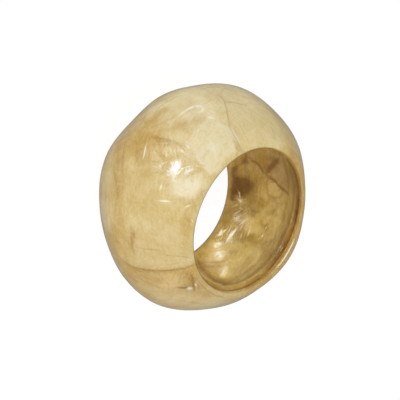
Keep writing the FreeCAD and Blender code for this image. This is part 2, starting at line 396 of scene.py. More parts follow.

# ------------------------------------------------------------------------------------------
# Lines: fine creases and seams (dark), some dark ones painted shadow, and crinkles painted pale as glints and
# highlights (pale)
# ------------------------------------------------------------------------------------------
class Lines:
    """Signed distance to the nearest line, that line's width and its strength, for the material to draw it sharply."""

    def __init__(self):
        self.best = np.full(R.shape, 1e9)
        self.signed = np.full(R.shape, 2.0)
        self.width = np.full(R.shape, 0.3)
        self.power = np.zeros(R.shape)

    def add(self, points, width, power, side="out", wobble=0.0, seed=1, taper=0.7):
        if len(points[0]) == 3:                     # degrees, height and radius
            line = np.array([(r * math.cos(math.radians(d)), r * math.sin(math.radians(d)), z) for d, z, r in points])
        else:
            line = place(points, side)
        if wobble:
            line = line + wobble * np.stack([fbm(line + 31.0 * k, 2.4, seed + k, 3) for k in range(3)], -1)
        mask = (OUT | (zone == 3)) if side == "out" else (zone >= 3)
        near = mask & (np.abs(P - line.mean(0)).max(-1) < np.abs(line - line.mean(0)).max() + 2.5)
        ids = np.nonzero(near.reshape(-1))[0]
        if not len(ids):
            return
        p, n = P.reshape(-1, 3)[ids], N.reshape(-1, 3)[ids]
        best, sign, where = np.full(len(ids), 1e9), np.ones(len(ids)), np.zeros(len(ids))
        seg = line[1:] - line[:-1]
        for k in range(len(seg)):
            v = p - line[k]
            t = np.clip((v @ seg[k]) / max(1e-9, seg[k] @ seg[k]), 0.0, 1.0)
            d = np.linalg.norm(v - t[:, None] * seg[k], axis=-1)
            hit = d < best
            best = np.where(hit, d, best)
            sign = np.where(hit, np.sign((np.cross(seg[k], v) * n).sum(-1)), sign)
            where = np.where(hit, (k + t) / len(seg), where)
        fade_out = np.clip(1.0 - (best - 1.1) / 0.6, 0.0, 1.0)
        ends = 1.0 - taper + taper * np.sin(np.pi * np.clip(where, 0.03, 0.97)) ** 0.7
        on = best < self.best.reshape(-1)[ids]
        take = ids[on]
        self.best.reshape(-1)[take] = best[on]
        self.signed.reshape(-1)[take] = (np.minimum(best, 2.0) * np.where(sign == 0, 1.0, sign))[on]
        self.width.reshape(-1)[take] = width
        self.power.reshape(-1)[take] = (power * fade_out * ends * (best < 1.7))[on]


dark, pale = Lines(), Lines()

dark.add(LOW_SEAM, 0.34, 0.58, wobble=0.24, seed=11, taper=0.45)
# painted shadow: a broader soft dark line beside the lower seam, under the overlapping flake's edge
dark.add([(p[0] + 1.1, p[1]) for p in LOW_SEAM[1:6]], 0.8, 0.30, wobble=0.2, seed=12)
dark.add(RIGHT_SEAM, 0.17, 0.42, wobble=0.10, seed=13, taper=0.2)
dark.add(RIGHT_SEAM[4:], 0.22, 0.55, wobble=0.05, seed=14)
dark.add([(212.8, 7.1), (213.5, 10.1), (214.5, 13.1)], 0.20, 0.42, wobble=0.2, seed=15)
dark.add([(216.5, 12.6), (218.2, 15.0), (220.0, 16.7), (222.2, 17.6)], 0.18, 0.40, wobble=0.2, seed=16)
dark.add([(203.0, 6.3), (207.0, 6.5), (211.0, 6.2), (216.5, 6.2)], 0.55, 0.62, wobble=0.3, seed=17)
dark.add([(203.6, 6.9), (206.5, 6.9), (208.5, 6.6)], 0.40, 0.70, wobble=0.1, seed=18)
dark.add([(158.5, 5.1), (156.8, 7.7), (156.0, 8.8), (155.2, 9.9), (155.5, 10.7), (155.5, 11.7)], 0.26, 0.72, wobble=0.15, seed=19)
dark.add([(155.8, 9.2), (154.8, 10.1), (155.8, 11.4), (156.2, 12.4)], 0.22, 0.50, wobble=0.15, seed=20)
dark.add([(158.3, 6.1), (160.5, 7.4), (162.5, 8.8)], 0.34, 0.45, wobble=0.1, seed=21)
dark.add([(165.2, -2.4), (168.2, -1.7), (172.5, -0.1), (177.8, 1.2), (183.2, 2.3)], 0.40, 0.40, wobble=0.2, seed=22)
dark.add([(163.2, 1.0), (166.5, 2.6), (173.8, 4.3)], 0.34, 0.32, wobble=0.2, seed=23)
dark.add([(119.5, 6.3), (118.7, 9.1), (113.2, 9.6), (108.5, 10.3), (103.2, 9.7)], 0.25, 0.40, wobble=0.4, seed=24)
dark.add([(121.0, 1.8), (114.5, 2.3), (111.2, 4.0), (107.3, 5.5)], 0.34, 0.45, wobble=0.5, seed=25)
dark.add([(92.5, 8.4), (90.2, 10.0), (86.0, 10.6), (81.0, 10.3), (77.0, 10.8)], 0.24, 0.42, wobble=0.2, seed=26)
dark.add([(237.2, 16.0), (240.0, 15.9), (243.0, 15.5), (246.0, 15.1), (249.5, 14.7)], 0.34, 0.85, wobble=0.35, seed=27, taper=0.3)
dark.add([(243.6, 12.2), (244.5, 12.9), (245.8, 13.9)], 0.38, 0.90, wobble=0.1, seed=28)
dark.add([(228.0, 16.0), (233.5, 14.5), (240.3, 12.9)], 0.28, 0.30, wobble=0.2, seed=861)
dark.add([(229.5, 16.5), (234.8, 15.5), (242.0, 14.7)], 0.28, 0.32, wobble=0.2, seed=862)
dark.add([(225.8, 15.5), (228.8, 14.1), (235.2, 12.6)], 0.30, 0.26, wobble=0.2, seed=863)
dark.add([(90.2, 18.6), (89.4, 18.7)], 0.20, 0.8, seed=29, taper=0.0)
dark.add([(154.6, -4.6), (152.4, -2.0), (153.8, 0.6)], 0.25, 0.28, wobble=0.1, seed=30)
dark.add([(160.6, -7.4), (158.6, -5.2), (160.2, -3.2)], 0.25, 0.28, wobble=0.1, seed=31)
dark.add([(170.0, 15.2), (166.6, 15.6), (163.0, 16.4)], 0.35, 0.35, wobble=0.1, seed=32)

# pale lines painted as glints on the outer crinkles; the looped one is a painted highlight
for k, (points, width, power) in enumerate((
    ([(163.0, 4.3), (166.5, 5.0), (169.8, 5.5)], 0.20, 0.95),
    ([(145.2, 6.1), (140.5, 6.2), (137.5, 6.3), (134.5, 6.6), (132.0, 7.1), (131.4, 8.0), (133.0, 8.9), (135.4, 8.6),
      (136.6, 7.9)], 0.40, 0.80),
    ([(134.0, 6.7), (131.9, 7.2), (131.4, 8.0)], 0.50, 0.75),
    ([(130.0, 9.2), (129.3, 10.0), (128.5, 10.8)], 0.50, 0.42),
    ([(133.8, 10.6), (132.4, 11.2), (131.0, 11.8)], 0.45, 0.80),
    ([(136.6, 11.2), (135.0, 11.6)], 0.30, 0.50),
    ([(171.0, 9.4), (168.5, 9.9), (167.0, 10.4)], 0.22, 0.90),
    ([(171.6, 9.9), (169.6, 10.3)], 0.18, 0.50),
    ([(170.0, 11.3), (170.2, 12.1)], 0.25, 0.90),
    ([(171.8, 11.9), (171.9, 12.3)], 0.25, 0.80),
    ([(168.5, 14.5), (165.5, 15.1), (161.8, 15.9)], 0.34, 0.95),
    ([(165.2, 14.0), (161.0, 15.3)], 0.20, 0.75),
    ([(180.8, 11.6), (177.5, 11.5)], 0.22, 0.85),
    ([(186.0, 11.9), (185.2, 13.0), (184.5, 14.1)], 0.22, 0.95),
    ([(178.5, 14.8), (179.2, 15.8)], 0.30, 0.60),
    ([(177.4, 15.6), (178.6, 16.4)], 0.20, 0.40),
    ([(185.8, 16.7), (182.8, 17.7)], 0.22, 0.70),
    ([(192.0, 18.0), (193.8, 18.5)], 0.20, 0.55),
    ([(161.2, 9.2), (164.2, 10.2)], 0.20, 0.75),
    ([(160.8, 10.3), (161.8, 10.9)], 0.20, 0.75),
    ([(158.2, 10.5), (161.5, 11.7)], 0.20, 0.65),
    ([(157.0, 11.8), (157.5, 12.5)], 0.28, 0.95),
    ([(153.5, 12.1), (153.8, 13.0)], 0.24, 0.85),
    ([(159.0, 9.5), (160.5, 10.6)], 0.18, 0.60),
    ([(157.0, 11.2), (159.5, 11.6)], 0.20, 0.60),
    ([(160.2, 12.4), (160.0, 14.2)], 0.20, 0.50),
    ([(155.5, 13.6), (159.0, 12.8)], 0.18, 0.45),
    ([(152.2, 11.2), (151.0, 12.6)], 0.20, 0.45),
    ([(159.6, 7.4), (157.6, 8.8)], 0.20, 0.50),
    ([(163.0, 12.0), (165.6, 12.9), (168.8, 13.2)], 0.24, 0.90),
    ([(165.2, 11.4), (166.8, 12.2), (170.4, 12.8)], 0.22, 0.85),
    ([(169.4, 12.2), (172.8, 13.5), (175.2, 14.2)], 0.24, 0.75),
    ([(161.6, 12.6), (163.8, 13.4)], 0.22, 0.80),
    ([(244.5, 15.7), (247.5, 15.4)], 0.30, 0.75),
    ([(p[0] - 1.0, p[1] - 0.5) for p in RIGHT_SEAM[4:]], 0.24, 0.36),
)):
    pale.add(points, width, power, wobble=0.06, seed=200 + k, taper=0.8)

# painted highlight: a bright line along the outer lip
pale.add([(358.0, 15.3, 20.1), (353.0, 15.25, 20.1), (348.0, 15.2, 20.1), (343.0, 15.2, 20.1), (338.0, 15.2, 20.1), (333.0, 15.2, 20.0)], 0.26, 1.2,
         wobble=0.04, seed=262, taper=0.7)

# layers that show along the upper edge, and the outer line of the mouth's rim
for k, (points, width, power) in enumerate((
    ([(152.0, -7.4), (148.5, -6.1), (143.8, -4.3), (139.8, -2.4), (135.8, -1.1)], 0.30, 0.55),
    ([(158.2, -6.1), (154.8, -4.7), (151.8, -2.7), (148.2, -1.2)], 0.26, 0.40),
    ([(166.5, -6.9), (164.2, -5.4), (162.5, -3.3)], 0.30, 0.45),
    ([(147.5, -1.7), (144.0, -0.6), (139.8, 0.1), (134.8, 0.8)], 0.30, 0.40),
    ([(155.5, 2.6), (152.0, 3.7), (147.5, 4.9), (143.5, 6.2)], 0.40, 0.30),
    ([(132.0, -3.6), (126.0, -2.2), (120.0, -0.6), (113.0, 0.8)], 0.26, 0.35),
    ([(177.0, -3.1), (183.0, 0.1), (189.2, 1.6), (198.7, 1.5)], 0.40, 0.30),
    ([(173.8, -0.6), (181.0, 2.2), (189.0, 3.1), (196.8, 2.8)], 0.34, 0.28),
    ([(187.0, -5.0), (193.0, -3.0), (200.0, -2.4), (208.0, -2.2)], 0.34, 0.32),
    ([(231.0, 3.6), (236.5, 6.4), (241.8, 8.6), (246.0, 9.6)], 0.34, 0.30),
    ([(229.5, 9.0), (234.0, 10.8), (238.5, 11.2), (243.0, 10.4)], 0.30, 0.30),
    ([(252.0, 8.0), (258.0, 10.2), (266.0, 11.4), (273.0, 12.8)], 0.30, 0.30),
)):
    dark.add(points, width, power, wobble=0.45, seed=840 + k)
dark.add([(228.0, 17.3, 21.0), (238.0, 17.1, 20.7), (246.0, 16.8, 20.6), (258.0, 16.2, 20.5), (268.0, 15.8, 20.5), (277.0, 15.3, 20.5)], 0.30, 0.60,
         wobble=0.15, seed=860, taper=0.4)

# creases that fan out below the golden place
rng = np.random.default_rng(17)
for k in range(27):
    phi = math.radians(rng.uniform(8.0, 165.0))
    q0 = rng.uniform(2.0, 16.0)
    q1 = q0 + rng.uniform(6.0, 18.0)
    sway = rng.uniform(-0.10, 0.10)
    points = []
    for q in (q0, 0.5 * (q0 + q1), q1):
        x, y = q * math.cos(phi + sway * (q - q0) / 10.0), 0.9 * q * math.sin(phi + sway * (q - q0) / 10.0)
        points.append((159.5 - 0.26 * x + 0.426 * y, 5.2 + 0.169 * x + 0.133 * y))
    (pale if k % 4 == 0 and points[2][0] < 160.0 else dark).add(points, rng.uniform(0.20, 0.32), rng.uniform(0.30, 0.55), wobble=0.30, seed=800 + k)

# a sheaf of short crinkles fans out round the brightest spot; the pale ones are painted glints
rng = np.random.default_rng(5)
for k in range(46):
    turn_by = rng.uniform(0.0, 2.0 * math.pi)
    q0 = rng.uniform(2.2, 6.5)
    q1 = q0 + rng.uniform(0.7, 1.9)
    c, s = math.cos(turn_by), math.sin(turn_by)
    points = [(165.8 + q * c / 0.52, 12.6 + q * s) for q in (q0, 0.5 * (q0 + q1) + 0.1, q1)]
    if points[-1][1] < 18.2:
        (pale if k % 3 else dark).add(points, rng.uniform(0.14, 0.22), rng.uniform(0.20, 0.48), wobble=0.25, seed=300 + k)

# inside
INNER_SEAM = [(40.2, -8.3), (38.8, -7.1), (36.2, -6.0), (33.5, -5.4), (32.0, -4.7), (30.0, -3.7), (29.2, -2.4), (28.2, -1.2), (26.0, 0.0), (25.0, 1.6), (24.2, 4.8)]
dark.add(INNER_SEAM, 0.42, 1.25, "in", 0.20, 33, taper=0.2)
dark.add([(43.0, -9.5), (41.0, -8.1)], 0.36, 0.60, "in", 0.1, 264)
dark.add([(32.6, -4.4), (36.2, -3.1), (38.6, -1.9), (41.5, -0.6)], 0.80, 1.25, "in", 0.1, 34, taper=0.2)
dark.add([(30.8, -3.6), (33.0, -4.4), (37.0, -4.9)], 0.40, 0.55, "in", 0.1, 261, taper=0.3)
dark.add([(29.5, -3.5), (27.4, -4.0), (24.6, -4.1), (21.4, -3.6)], 0.26, 0.60, "in", 0.1, 35, taper=0.3)
dark.add([(25.6, -4.0), (28.0, -2.4), (27.4, 0.2)], 0.24, 0.30, "in", 0.1, 36)
dark.add([(19.4, -2.6), (18.8, -0.8), (20.6, 1.6), (23.4, 2.6)], 0.24, 0.42, "in", 0.1, 37)
dark.add([(43.4, -9.7), (42.4, -9.5)], 0.36, 1.4, "in", 0.0, 38, taper=0.0)
dark.add([(346.8, -12.4), (352.0, -12.0), (358.0, -11.4), (5.2, -10.2), (9.2, -9.0)], 0.30, 0.45, "in", 0.3, 39)
dark.add([(14.5, -12.6), (7.5, -10.9), (4.8, -9.6), (0.8, -8.9)], 0.30, 0.50, "in", 0.3, 40)
dark.add([(356.0, -4.4), (6.5, -2.6), (15.4, 1.6)], 0.6, 0.25, "in", 0.4, 44)
for k, (z, d0, d1, width, power) in enumerate(((-12.5, 39.0, 13.0, 0.40, 0.50), (-11.3, 27.0, 14.0, 0.34, 0.55), (-10.3, 40.0, 16.0, 0.30, 0.45),
                                               (-9.3, 33.0, 14.0, 0.40, 0.60), (-8.3, 30.0, 15.0, 0.30, 0.45), (-7.2, 29.0, 17.0, 0.34, 0.40),
                                               (-5.9, 26.0, 12.0, 0.30, 0.30), (-4.7, 22.0, 9.0, 0.40, 0.25))):
    dark.add([(d0, z - 0.1), (0.5 * (d0 + d1), z + 0.15), (d1, z + 0.5)], width, power, "in", 0.3, 240 + k, taper=0.6)
dark.add([(25.7, -3.9), (21.8, -4.1), (18.4, -2.9), (18.2, -0.8), (20.4, 1.0), (23.4, 1.2)], 0.30, 0.55, "in", 0.15, 250, taper=0.3)
dark.add([(17.6, -3.2), (16.2, -1.1), (16.0, 2.0), (18.8, 3.6)], 0.26, 0.35, "in", 0.2, 251)
dark.add([(18.8, 2.5), (16.7, 5.3), (12.5, 7.2)], 0.34, 0.40, "in", 0.2, 252)
dark.add([(14.5, 1.2), (12.2, 4.4), (7.3, 6.0)], 0.30, 0.35, "in", 0.2, 253)
dark.add([(319.0, -9.4), (323.0, -7.4), (327.0, -6.0), (332.0, -5.6)], 0.45, 0.45, "in", 0.3, 254)
dark.add([(319.0, 0.1), (323.2, 1.5), (328.7, 2.4), (335.0, 2.7)], 0.34, 0.35, "in", 0.3, 255)
dark.add([(321.0, -1.6), (325.5, -0.4), (331.8, 0.2), (337.8, 0.3)], 0.30, 0.30, "in", 0.3, 256)
dark.add([(327.5, -2.0), (332.0, -1.2), (338.0, -1.1)], 0.26, 0.30, "in", 0.3, 257)
dark.add([(312.0, -7.0), (316.0, -5.2), (315.0, -2.4), (318.0, -1.0)], 0.34, 0.40, "in", 0.3, 258)
dark.add([(341.5, -10.6), (347.0, -10.2), (352.0, -9.8)], 0.26, 0.50, "in", 0.15, 259)
dark.add([(315.5, -11.5), (314.0, -9.5), (312.6, -7.5), (311.2, -5.5), (311.5, -3.0), (313.5, -1.0)], 0.5, 0.5, "in", 0.2, 263, taper=0.3)
dark.add([(346.5, -8.6), (352.5, -8.2), (358.0, -7.2)], 0.26, 0.40, "in", 0.15, 260)
# pale lines painted as glints on the lining's crinkles and folds
for k, (points, width, power) in enumerate((
    ([(16.9, -11.6), (16.1, -11.3)], 0.22, 1.0),
    ([(14.7, -11.3), (13.7, -11.0)], 0.22, 1.0),
    ([(11.8, -11.5), (11.4, -11.0), (12.0, -10.4)], 0.42, 0.75),
    ([(6.0, -11.9), (8.5, -11.1)], 0.22, 0.50),
    ([(1.2, -11.2), (3.0, -10.4), (5.0, -9.8)], 0.22, 0.60),
    ([(357.8, -11.2), (359.8, -10.0), (2.5, -8.8)], 0.22, 0.65),
    ([(355.6, -10.4), (357.4, -9.4), (359.6, -8.4)], 0.20, 0.55),
    ([(354.3, -8.9), (0.5, -7.3)], 0.26, 0.60),
    ([(348.4, -11.2), (346.4, -11.5), (344.5, -11.4)], 0.22, 0.90),
    ([(342.3, -12.1), (344.4, -12.0), (346.6, -12.1)], 0.32, 1.0),
    ([(340.0, -9.5), (344.8, -9.5), (350.0, -9.4)], 0.30, 1.0),
    ([(344.6, -10.6), (349.0, -10.4), (353.0, -10.6)], 0.20, 0.60),
    ([(341.0, -8.0), (343.0, -8.3)], 0.24, 0.70),
    ([(353.0, -1.2), (354.0, -1.0), (354.9, -1.1)], 0.22, 1.0),
    ([(358.6, -1.1), (0.3, -1.0)], 0.22, 0.85),
    ([(350.0, -5.1), (355.0, -5.4)], 0.30, 0.50),
    ([(351.5, -8.0), (356.2, -7.7)], 0.26, 0.55),
    ([(347.0, -6.6), (350.6, -6.9)], 0.26, 0.40),
    ([(6.6, -10.6), (5.6, -9.4)], 0.26, 0.50),
    ([(p[0] - 1.4, p[1] + 0.55) for p in INNER_SEAM[2:7]], 0.40, 0.14),
    ([(341.0, -12.1), (344.6, -11.6)], 0.50, 1.1),
    ([(339.5, -9.35), (343.5, -9.3), (348.2, -9.2), (353.0, -8.9)], 0.42, 1.1),
    ([(328.7, -9.6), (331.6, -8.4)], 0.75, 1.0),
    ([(326.9, -8.2), (330.2, -7.5)], 0.60, 0.9),
    ([(334.2, -10.9), (338.0, -10.2)], 0.70, 0.9),
    ([(317.5, -3.2), (322.4, -4.3)], 0.60, 0.8),
    ([(12.5, -11.0), (9.8, -10.5)], 0.50, 0.8),
    ([(0.4, -11.2), (3.8, -10.3)], 0.30, 0.7),
    ([(356.6, -10.8), (0.6, -9.4)], 0.30, 0.7),
)):
    pale.add(points, 0.88 * width, 1.05 * power, "in", 0.05, 400 + k, taper=0.8)
    # painted shadow: a dark line just beside each stronger glint
    if power > 0.45 and k not in (19, 21, 22, 23, 24, 25):
        dark.add([(d + 0.8, z - 0.45) for d, z in points], 0.9 * width, 0.55 * power, "in", 0.10, 700 + k, taper=0.8)
rng = np.random.default_rng(9)
for k in range(14):
    d, z = rng.uniform(347.0, 369.0), rng.uniform(-12.2, -7.4)
    tilted = rng.uniform(0.1, 0.7)
    q = rng.uniform(0.6, 1.2)
    points = [(d - q * math.cos(tilted) / 0.42, z - q * math.sin(tilted)), (d, z + 0.08), (d + q * math.cos(tilted) / 0.42, z + q * math.sin(tilted))]
    dark.add(points, rng.uniform(0.26, 0.36), rng.uniform(0.25, 0.50), "in", 0.25, 500 + k)

# creases and crinkles of the same kind all round the rest; the pale crinkles are painted glints
rng = np.random.default_rng(21)
for k in range(120):
    side = "out" if k % 5 < 3 else "in"
    home = 172.0 if side == "out" else 5.0
    d, z = rng.uniform(0.0, 360.0), rng.uniform(-12.5, 14.5)
    a0 = rng.uniform(0.0, math.pi)
    long_one = rng.uniform() < 0.30
    q = rng.uniform(3.0, 6.5) if long_one else rng.uniform(0.6, 1.6)
    b0 = rng.uniform(-0.5, 0.5)
    power = rng.uniform(0.25, 0.60)
    wide = rng.uniform(0.16, 0.30)
    if abs(turn(d, home)) < 62.0:
        continue
    points = []
    for step in (-1.0, -0.5, 0.0, 0.5, 1.0):
        a1 = a0 + b0 * step
        points.append((d + q * step * math.cos(a1) / 0.5, float(np.clip(z + q * step * math.sin(a1), -13.8, 16.2))))
    (dark if long_one or k % 4 == 0 else pale).add(points, wide, power * (0.8 if long_one else 1.0), side, 0.5, 600 + k)

# ------------------------------------------------------------------------------------------
# Relief
# ------------------------------------------------------------------------------------------
relief = np.zeros(R.shape)
relief += 0.10 * fbm(P, 9.0, 3, 3) * OUT
relief += (0.13 * fbm(P, 7.0, 9, 3) + 0.05 * fbm(P, 2.6, 19, 3)) * INN
low_step = stroke(LOW_SEAM, 0.5, wobble=0.24, seed=11)
relief -= 0.10 * low_step                       # the lower flake lies a step under its neighbour
relief -= 0.05 * low_flake
relief += 0.06 * stroke(INNER_SEAM, 0.8, "in")


def blister(d, z, wide, tall, high, side="in", lean=0.0):
    """A small raised or sunken place, its size in mm along and across the ring."""
    s, t = np.radians(turn(DEG, d)) * (23.0 if side == "in" else 27.0), Z - z
    s, t = s * math.cos(lean) + t * math.sin(lean), t * math.cos(lean) - s * math.sin(lean)
    return high * np.exp(-(s / wide) ** 2 - (t / tall) ** 2) * (INN if side == "in" else OUT)


for at in ((335.2, -10.6, 1.1, 0.8, 0.26), (329.4, -8.2, 2.0, 1.3, 0.42, "in", -0.3), (326.4, -7.4, 1.2, 0.8, -0.14),
           (320.4, -3.7, 2.2, 1.0, 0.42, "in", -0.35), (324.2, -4.3, 0.9, 0.7, 0.16), (344.6, -11.9, 1.0, 0.55, 0.12),
           (345.0, -9.45, 2.0, 0.50, 0.20), (341.8, -8.1, 0.8, 0.6, 0.14), (349.5, -10.5, 1.4, 0.45, 0.13, "in", 0.2),
           (353.0, -11.3, 1.0, 0.5, 0.13), (16.4, -11.4, 0.6, 0.5, 0.16), (14.2, -11.1, 0.6, 0.5, 0.16),
           (11.6, -11.0, 1.0, 0.8, 0.22), (6.8, -11.4, 0.9, 0.5, 0.14), (2.8, -10.5, 1.1, 0.45, 0.14, "in", 0.3),
           (359.6, -9.9, 1.3, 0.45, 0.15, "in", 0.4), (357.2, -9.3, 1.0, 0.4, 0.12, "in", 0.4),
           (357.6, -8.1, 1.4, 0.5, 0.16, "in", 0.2), (354.0, -7.8, 1.1, 0.5, 0.13), (352.4, -5.2, 1.2, 0.6, 0.13),
           (348.6, -6.7, 1.0, 0.5, 0.10), (354.0, -1.1, 0.5, 0.45, 0.18), (359.4, -1.05, 0.5, 0.45, 0.18),
           (5.9, -10.0, 0.8, 0.6, 0.14), (24.0, -0.6, 2.0, 2.0, 0.14), (34.0, -1.8, 2.4, 1.8, 0.12), (31.0, -7.4, 1.8, 1.0, -0.12)):
    relief += blister(*at)
rng = np.random.default_rng(31)
for k in range(90):                             # the same unevenness on the rest of the lining
    d, z = rng.uniform(30.0, 340.0), rng.uniform(-12.0, 9.0)
    relief += blister(d, z, rng.uniform(0.7, 2.2), rng.uniform(0.45, 1.2), rng.uniform(-0.10, 0.20), "in", rng.uniform(-0.6, 0.6))
chip = patch([(246.8, 13.4), (245.3, 14.1), (247.0, 14.8), (249.5, 14.5), (248.5, 13.5)], 0.35, ragged=0.15, seed=7, size=1.2)
relief -= 0.14 * chip
fade = smooth((Z - foot_z(P[..., 0], P[..., 1])) / 1.2)
relief *= fade
Q = P + N * relief[..., None]

# ------------------------------------------------------------------------------------------
# Colour
# ------------------------------------------------------------------------------------------
def tone(r, g, b):
    """A colour as it looks in white light, less the faint veil that the gloss over it adds."""
    c = np.array([r, g, b]) / 255.0
    return np.maximum(0.01, np.where(c <= 0.04045, c / 12.92, ((c + 0.055) / 1.055) ** 2.4) - 0.02)


STRAW, PALE, MILK = tone(217, 194, 134), tone(233, 216, 170), tone(238, 224, 186)
GOLD, OCHRE, BROWN = tone(202, 168, 98), tone(193, 157, 84), tone(132, 92, 40)
MAUVE, UMBER = tone(198, 172, 134), tone(122, 88, 40)
LINING, LINING_DARK, LINING_PALE = tone(228, 204, 134), tone(176, 142, 72), tone(240, 226, 170)


def deep(r, g, b):
    """The same for the lining, which mirrors its own far side."""
    return np.maximum(0.006, tone(r, g, b) - np.array([0.018, 0.022, 0.030]))


def lerp(c, d, t):
    return c + (d - c) * np.asarray(t)[..., None]


broad = fbm(P, 11.0, 101, 4)
blotch = fbm(P * np.array([1.0, 1.0, 0.8]) + 40.0, 4.2, 131, 4, 0.6)
cloud = fbm(P + 80.0, 2.0, 151, 3, 0.6)

col = np.broadcast_to(STRAW, R.shape + (3,)).copy()
col = lerp(col, GOLD, np.clip(0.10 + 0.9 * broad + 0.25 * warm * (1.0 - 0.6 * calm), 0.0, 0.75) * OUT)
col = lerp(col, PALE, np.clip(-0.10 - 0.8 * broad + 0.22 * light * (1.0 - 0.6 * calm), 0.0, 0.6) * OUT)
col = lerp(col, OCHRE, np.clip(0.55 * blotch - 0.04, 0.0, 0.5) * OUT)
col = lerp(col, PALE, np.clip(-0.50 * blotch - 0.06, 0.0, 0.4) * OUT)
col = lerp(col, OCHRE, np.clip(0.30 * cloud, 0.0, 0.3) * OUT)

# edges of the flakes, where one lies over the next
seam_out = np.exp(-(out_edge / 0.34) ** 2) * (0.25 + 0.75 * smooth(0.5 + 1.6 * fbm(P, 6.0, 171, 2)))
overlap = np.exp(-(out_edge / 1.5) ** 2)
col = lerp(col, OCHRE, 0.42 * seam_out * OUT * (1.0 - calm))
col = lerp(col, PALE, 0.28 * overlap * np.clip(light, 0, 1) * OUT * (1.0 - calm))

# milky flakes
milk_b = patch([(141.0, 10.9), (134.0, 12.0), (130.6, 13.4), (127.8, 15.0), (130.4, 17.2), (133.2, 18.9), (144.2, 19.0),
                (153.0, 19.0), (160.2, 18.6), (157.6, 15.6), (154.5, 14.3), (149.8, 12.2)], 0.5, ragged=0.7, seed=8)
top_pale = patch([(152.0, 0.0), (150.0, 6.0), (142.0, 10.0), (130.0, 11.5), (121.0, 9.0), (120.0, 1.0), (132.0, -2.5), (144.0, -3.0)],
                 2.5, ragged=1.6, seed=54)
col = lerp(col, tone(240, 225, 182), 0.68 * top_pale * (0.8 - 0.8 * blotch))
col = lerp(col, tone(232, 216, 170), 0.50 * patch([(196.0, 6.0), (198.0, 16.0), (212.0, 17.5), (224.0, 17.0), (224.0, 9.0), (214.0, 5.0)],
                                                  2.4, ragged=1.4, seed=55))
col = lerp(col, OCHRE, 0.24 * patch([(150.0, -8.0), (148.0, 0.0), (154.0, 6.0), (166.0, 5.0), (176.0, -1.0), (184.0, -7.0), (170.0, -10.0)],
                                    3.0, ragged=1.8, seed=56) * (0.9 + 0.8 * blotch))
col = lerp(col, OCHRE, 0.30 * patch([(185.0, -4.0), (186.0, 3.0), (200.0, 4.5), (214.0, 3.0), (222.0, 0.0), (214.0, -4.0), (200.0, -5.0)],
                                    2.0, ragged=1.4, seed=57))
col = lerp(col, MILK, 0.42 * patch([(139.5, 6.4), (131.0, 8.4), (127.5, 12.3), (132.0, 15.2), (143.8, 15.6), (147.0, 12.6), (145.2, 9.4)],
                                   1.2, ragged=0.9, seed=66))
col = lerp(col, MILK, 0.24 * patch([(130.0, 16.8), (120.8, 16.6), (112.0, 17.6), (114.0, 19.2), (130.0, 19.4)], 0.9, ragged=0.5, seed=67))
col = lerp(col, GOLD, 0.34 * patch([(207.0, 0.0), (201.5, 4.6), (205.5, 8.4), (215.8, 7.2), (219.0, 2.4), (214.0, -0.6)], 1.6, ragged=1.2, seed=68))
milk_c = patch([(171.5, 13.9), (165.0, 15.6), (163.0, 16.0), (167.8, 18.5), (176.5, 18.2), (180.5, 15.8)], 1.3, ragged=0.9, seed=9)
col = lerp(col, MILK, 0.80 * milk_b)
col = lerp(col, tone(246, 237, 212), 0.75 * patch([(147.5, 15.4), (143.0, 14.9), (141.8, 16.2), (146.6, 16.9)], 1.0, seed=10))
col = lerp(col, tone(246, 237, 212), 0.60 * patch([(129.0, 15.0), (125.8, 14.9), (126.6, 17.2), (129.8, 17.4)], 0.9, seed=12))
col = lerp(col, tone(244, 233, 205), 0.40 * patch([(158.0, 13.9), (151.5, 13.2), (150.0, 16.5), (158.5, 17.6)], 1.4, seed=13))
col = lerp(col, PALE, 0.62 * milk_c)
col = lerp(col, tone(222, 200, 142), 0.55 * right_flake * (1.0 - smooth((DEG - 124.0) / 4.0)))
col = lerp(col, tone(232, 216, 168), 0.60 * patch([(121.0, 12.0), (126.0, 18.6), (105.0, 19.4), (84.0, 19.0), (88.0, 13.5), (104.0, 11.5)],
                                                  1.8, ragged=1.2, seed=58))
# darker, more golden places
gold_band = patch([(165.0, -2.7), (161.4, -0.9), (158.6, 2.6), (157.0, 5.8), (158.6, 7.6), (163.0, 6.6), (167.0, 4.2), (168.2, -0.4)],
                  1.2, ragged=1.0, seed=14)
col = lerp(col, tone(197, 159, 83), 0.52 * gold_band)
col = lerp(col, OCHRE, 0.55 * stroke([(168.0, -4.5), (173.0, -2.0), (180.0, -0.5), (188.0, 1.5)], 1.5, wobble=0.6, seed=15))
col = lerp(col, OCHRE, 0.32 * stroke([(150.0, 7.0), (144.0, 8.6), (139.5, 9.6), (136.0, 10.6)], 0.8, wobble=0.5, seed=16))
col = lerp(col, GOLD, 0.75 * stroke([(156.0, 0.4), (150.0, 1.6), (144.0, 2.2)], 1.5, wobble=0.6, seed=26))
col = lerp(col, OCHRE, 0.55 * patch([(196.0, -6.5), (210.0, -6.0), (224.0, -4.0), (224.0, 0.0), (212.0, 1.2), (198.0, -1.0)],
                                    1.6, ragged=1.2, seed=17))
col = lerp(col, OCHRE, 0.72 * low_flake * (0.75 + 0.5 * blotch))
col = lerp(col, GOLD, 0.60 * stroke([(p[0] + 3.5, p[1]) for p in LOW_SEAM], 1.6, wobble=0.5, seed=18))
col = lerp(col, tone(222, 196, 138), 0.55 * patch([(231.0, 10.6), (232.0, 14.0), (240.0, 14.6), (244.5, 13.0), (242.0, 10.0)],
                                                   1.2, ragged=0.8, seed=19))
col = lerp(col, tone(214, 188, 132), 0.50 * patch([(250.0, 2.0), (247.0, 10.0), (252.0, 16.5), (262.0, 15.0), (262.0, 3.0)],
                                                   1.8, ragged=1.2, seed=20))
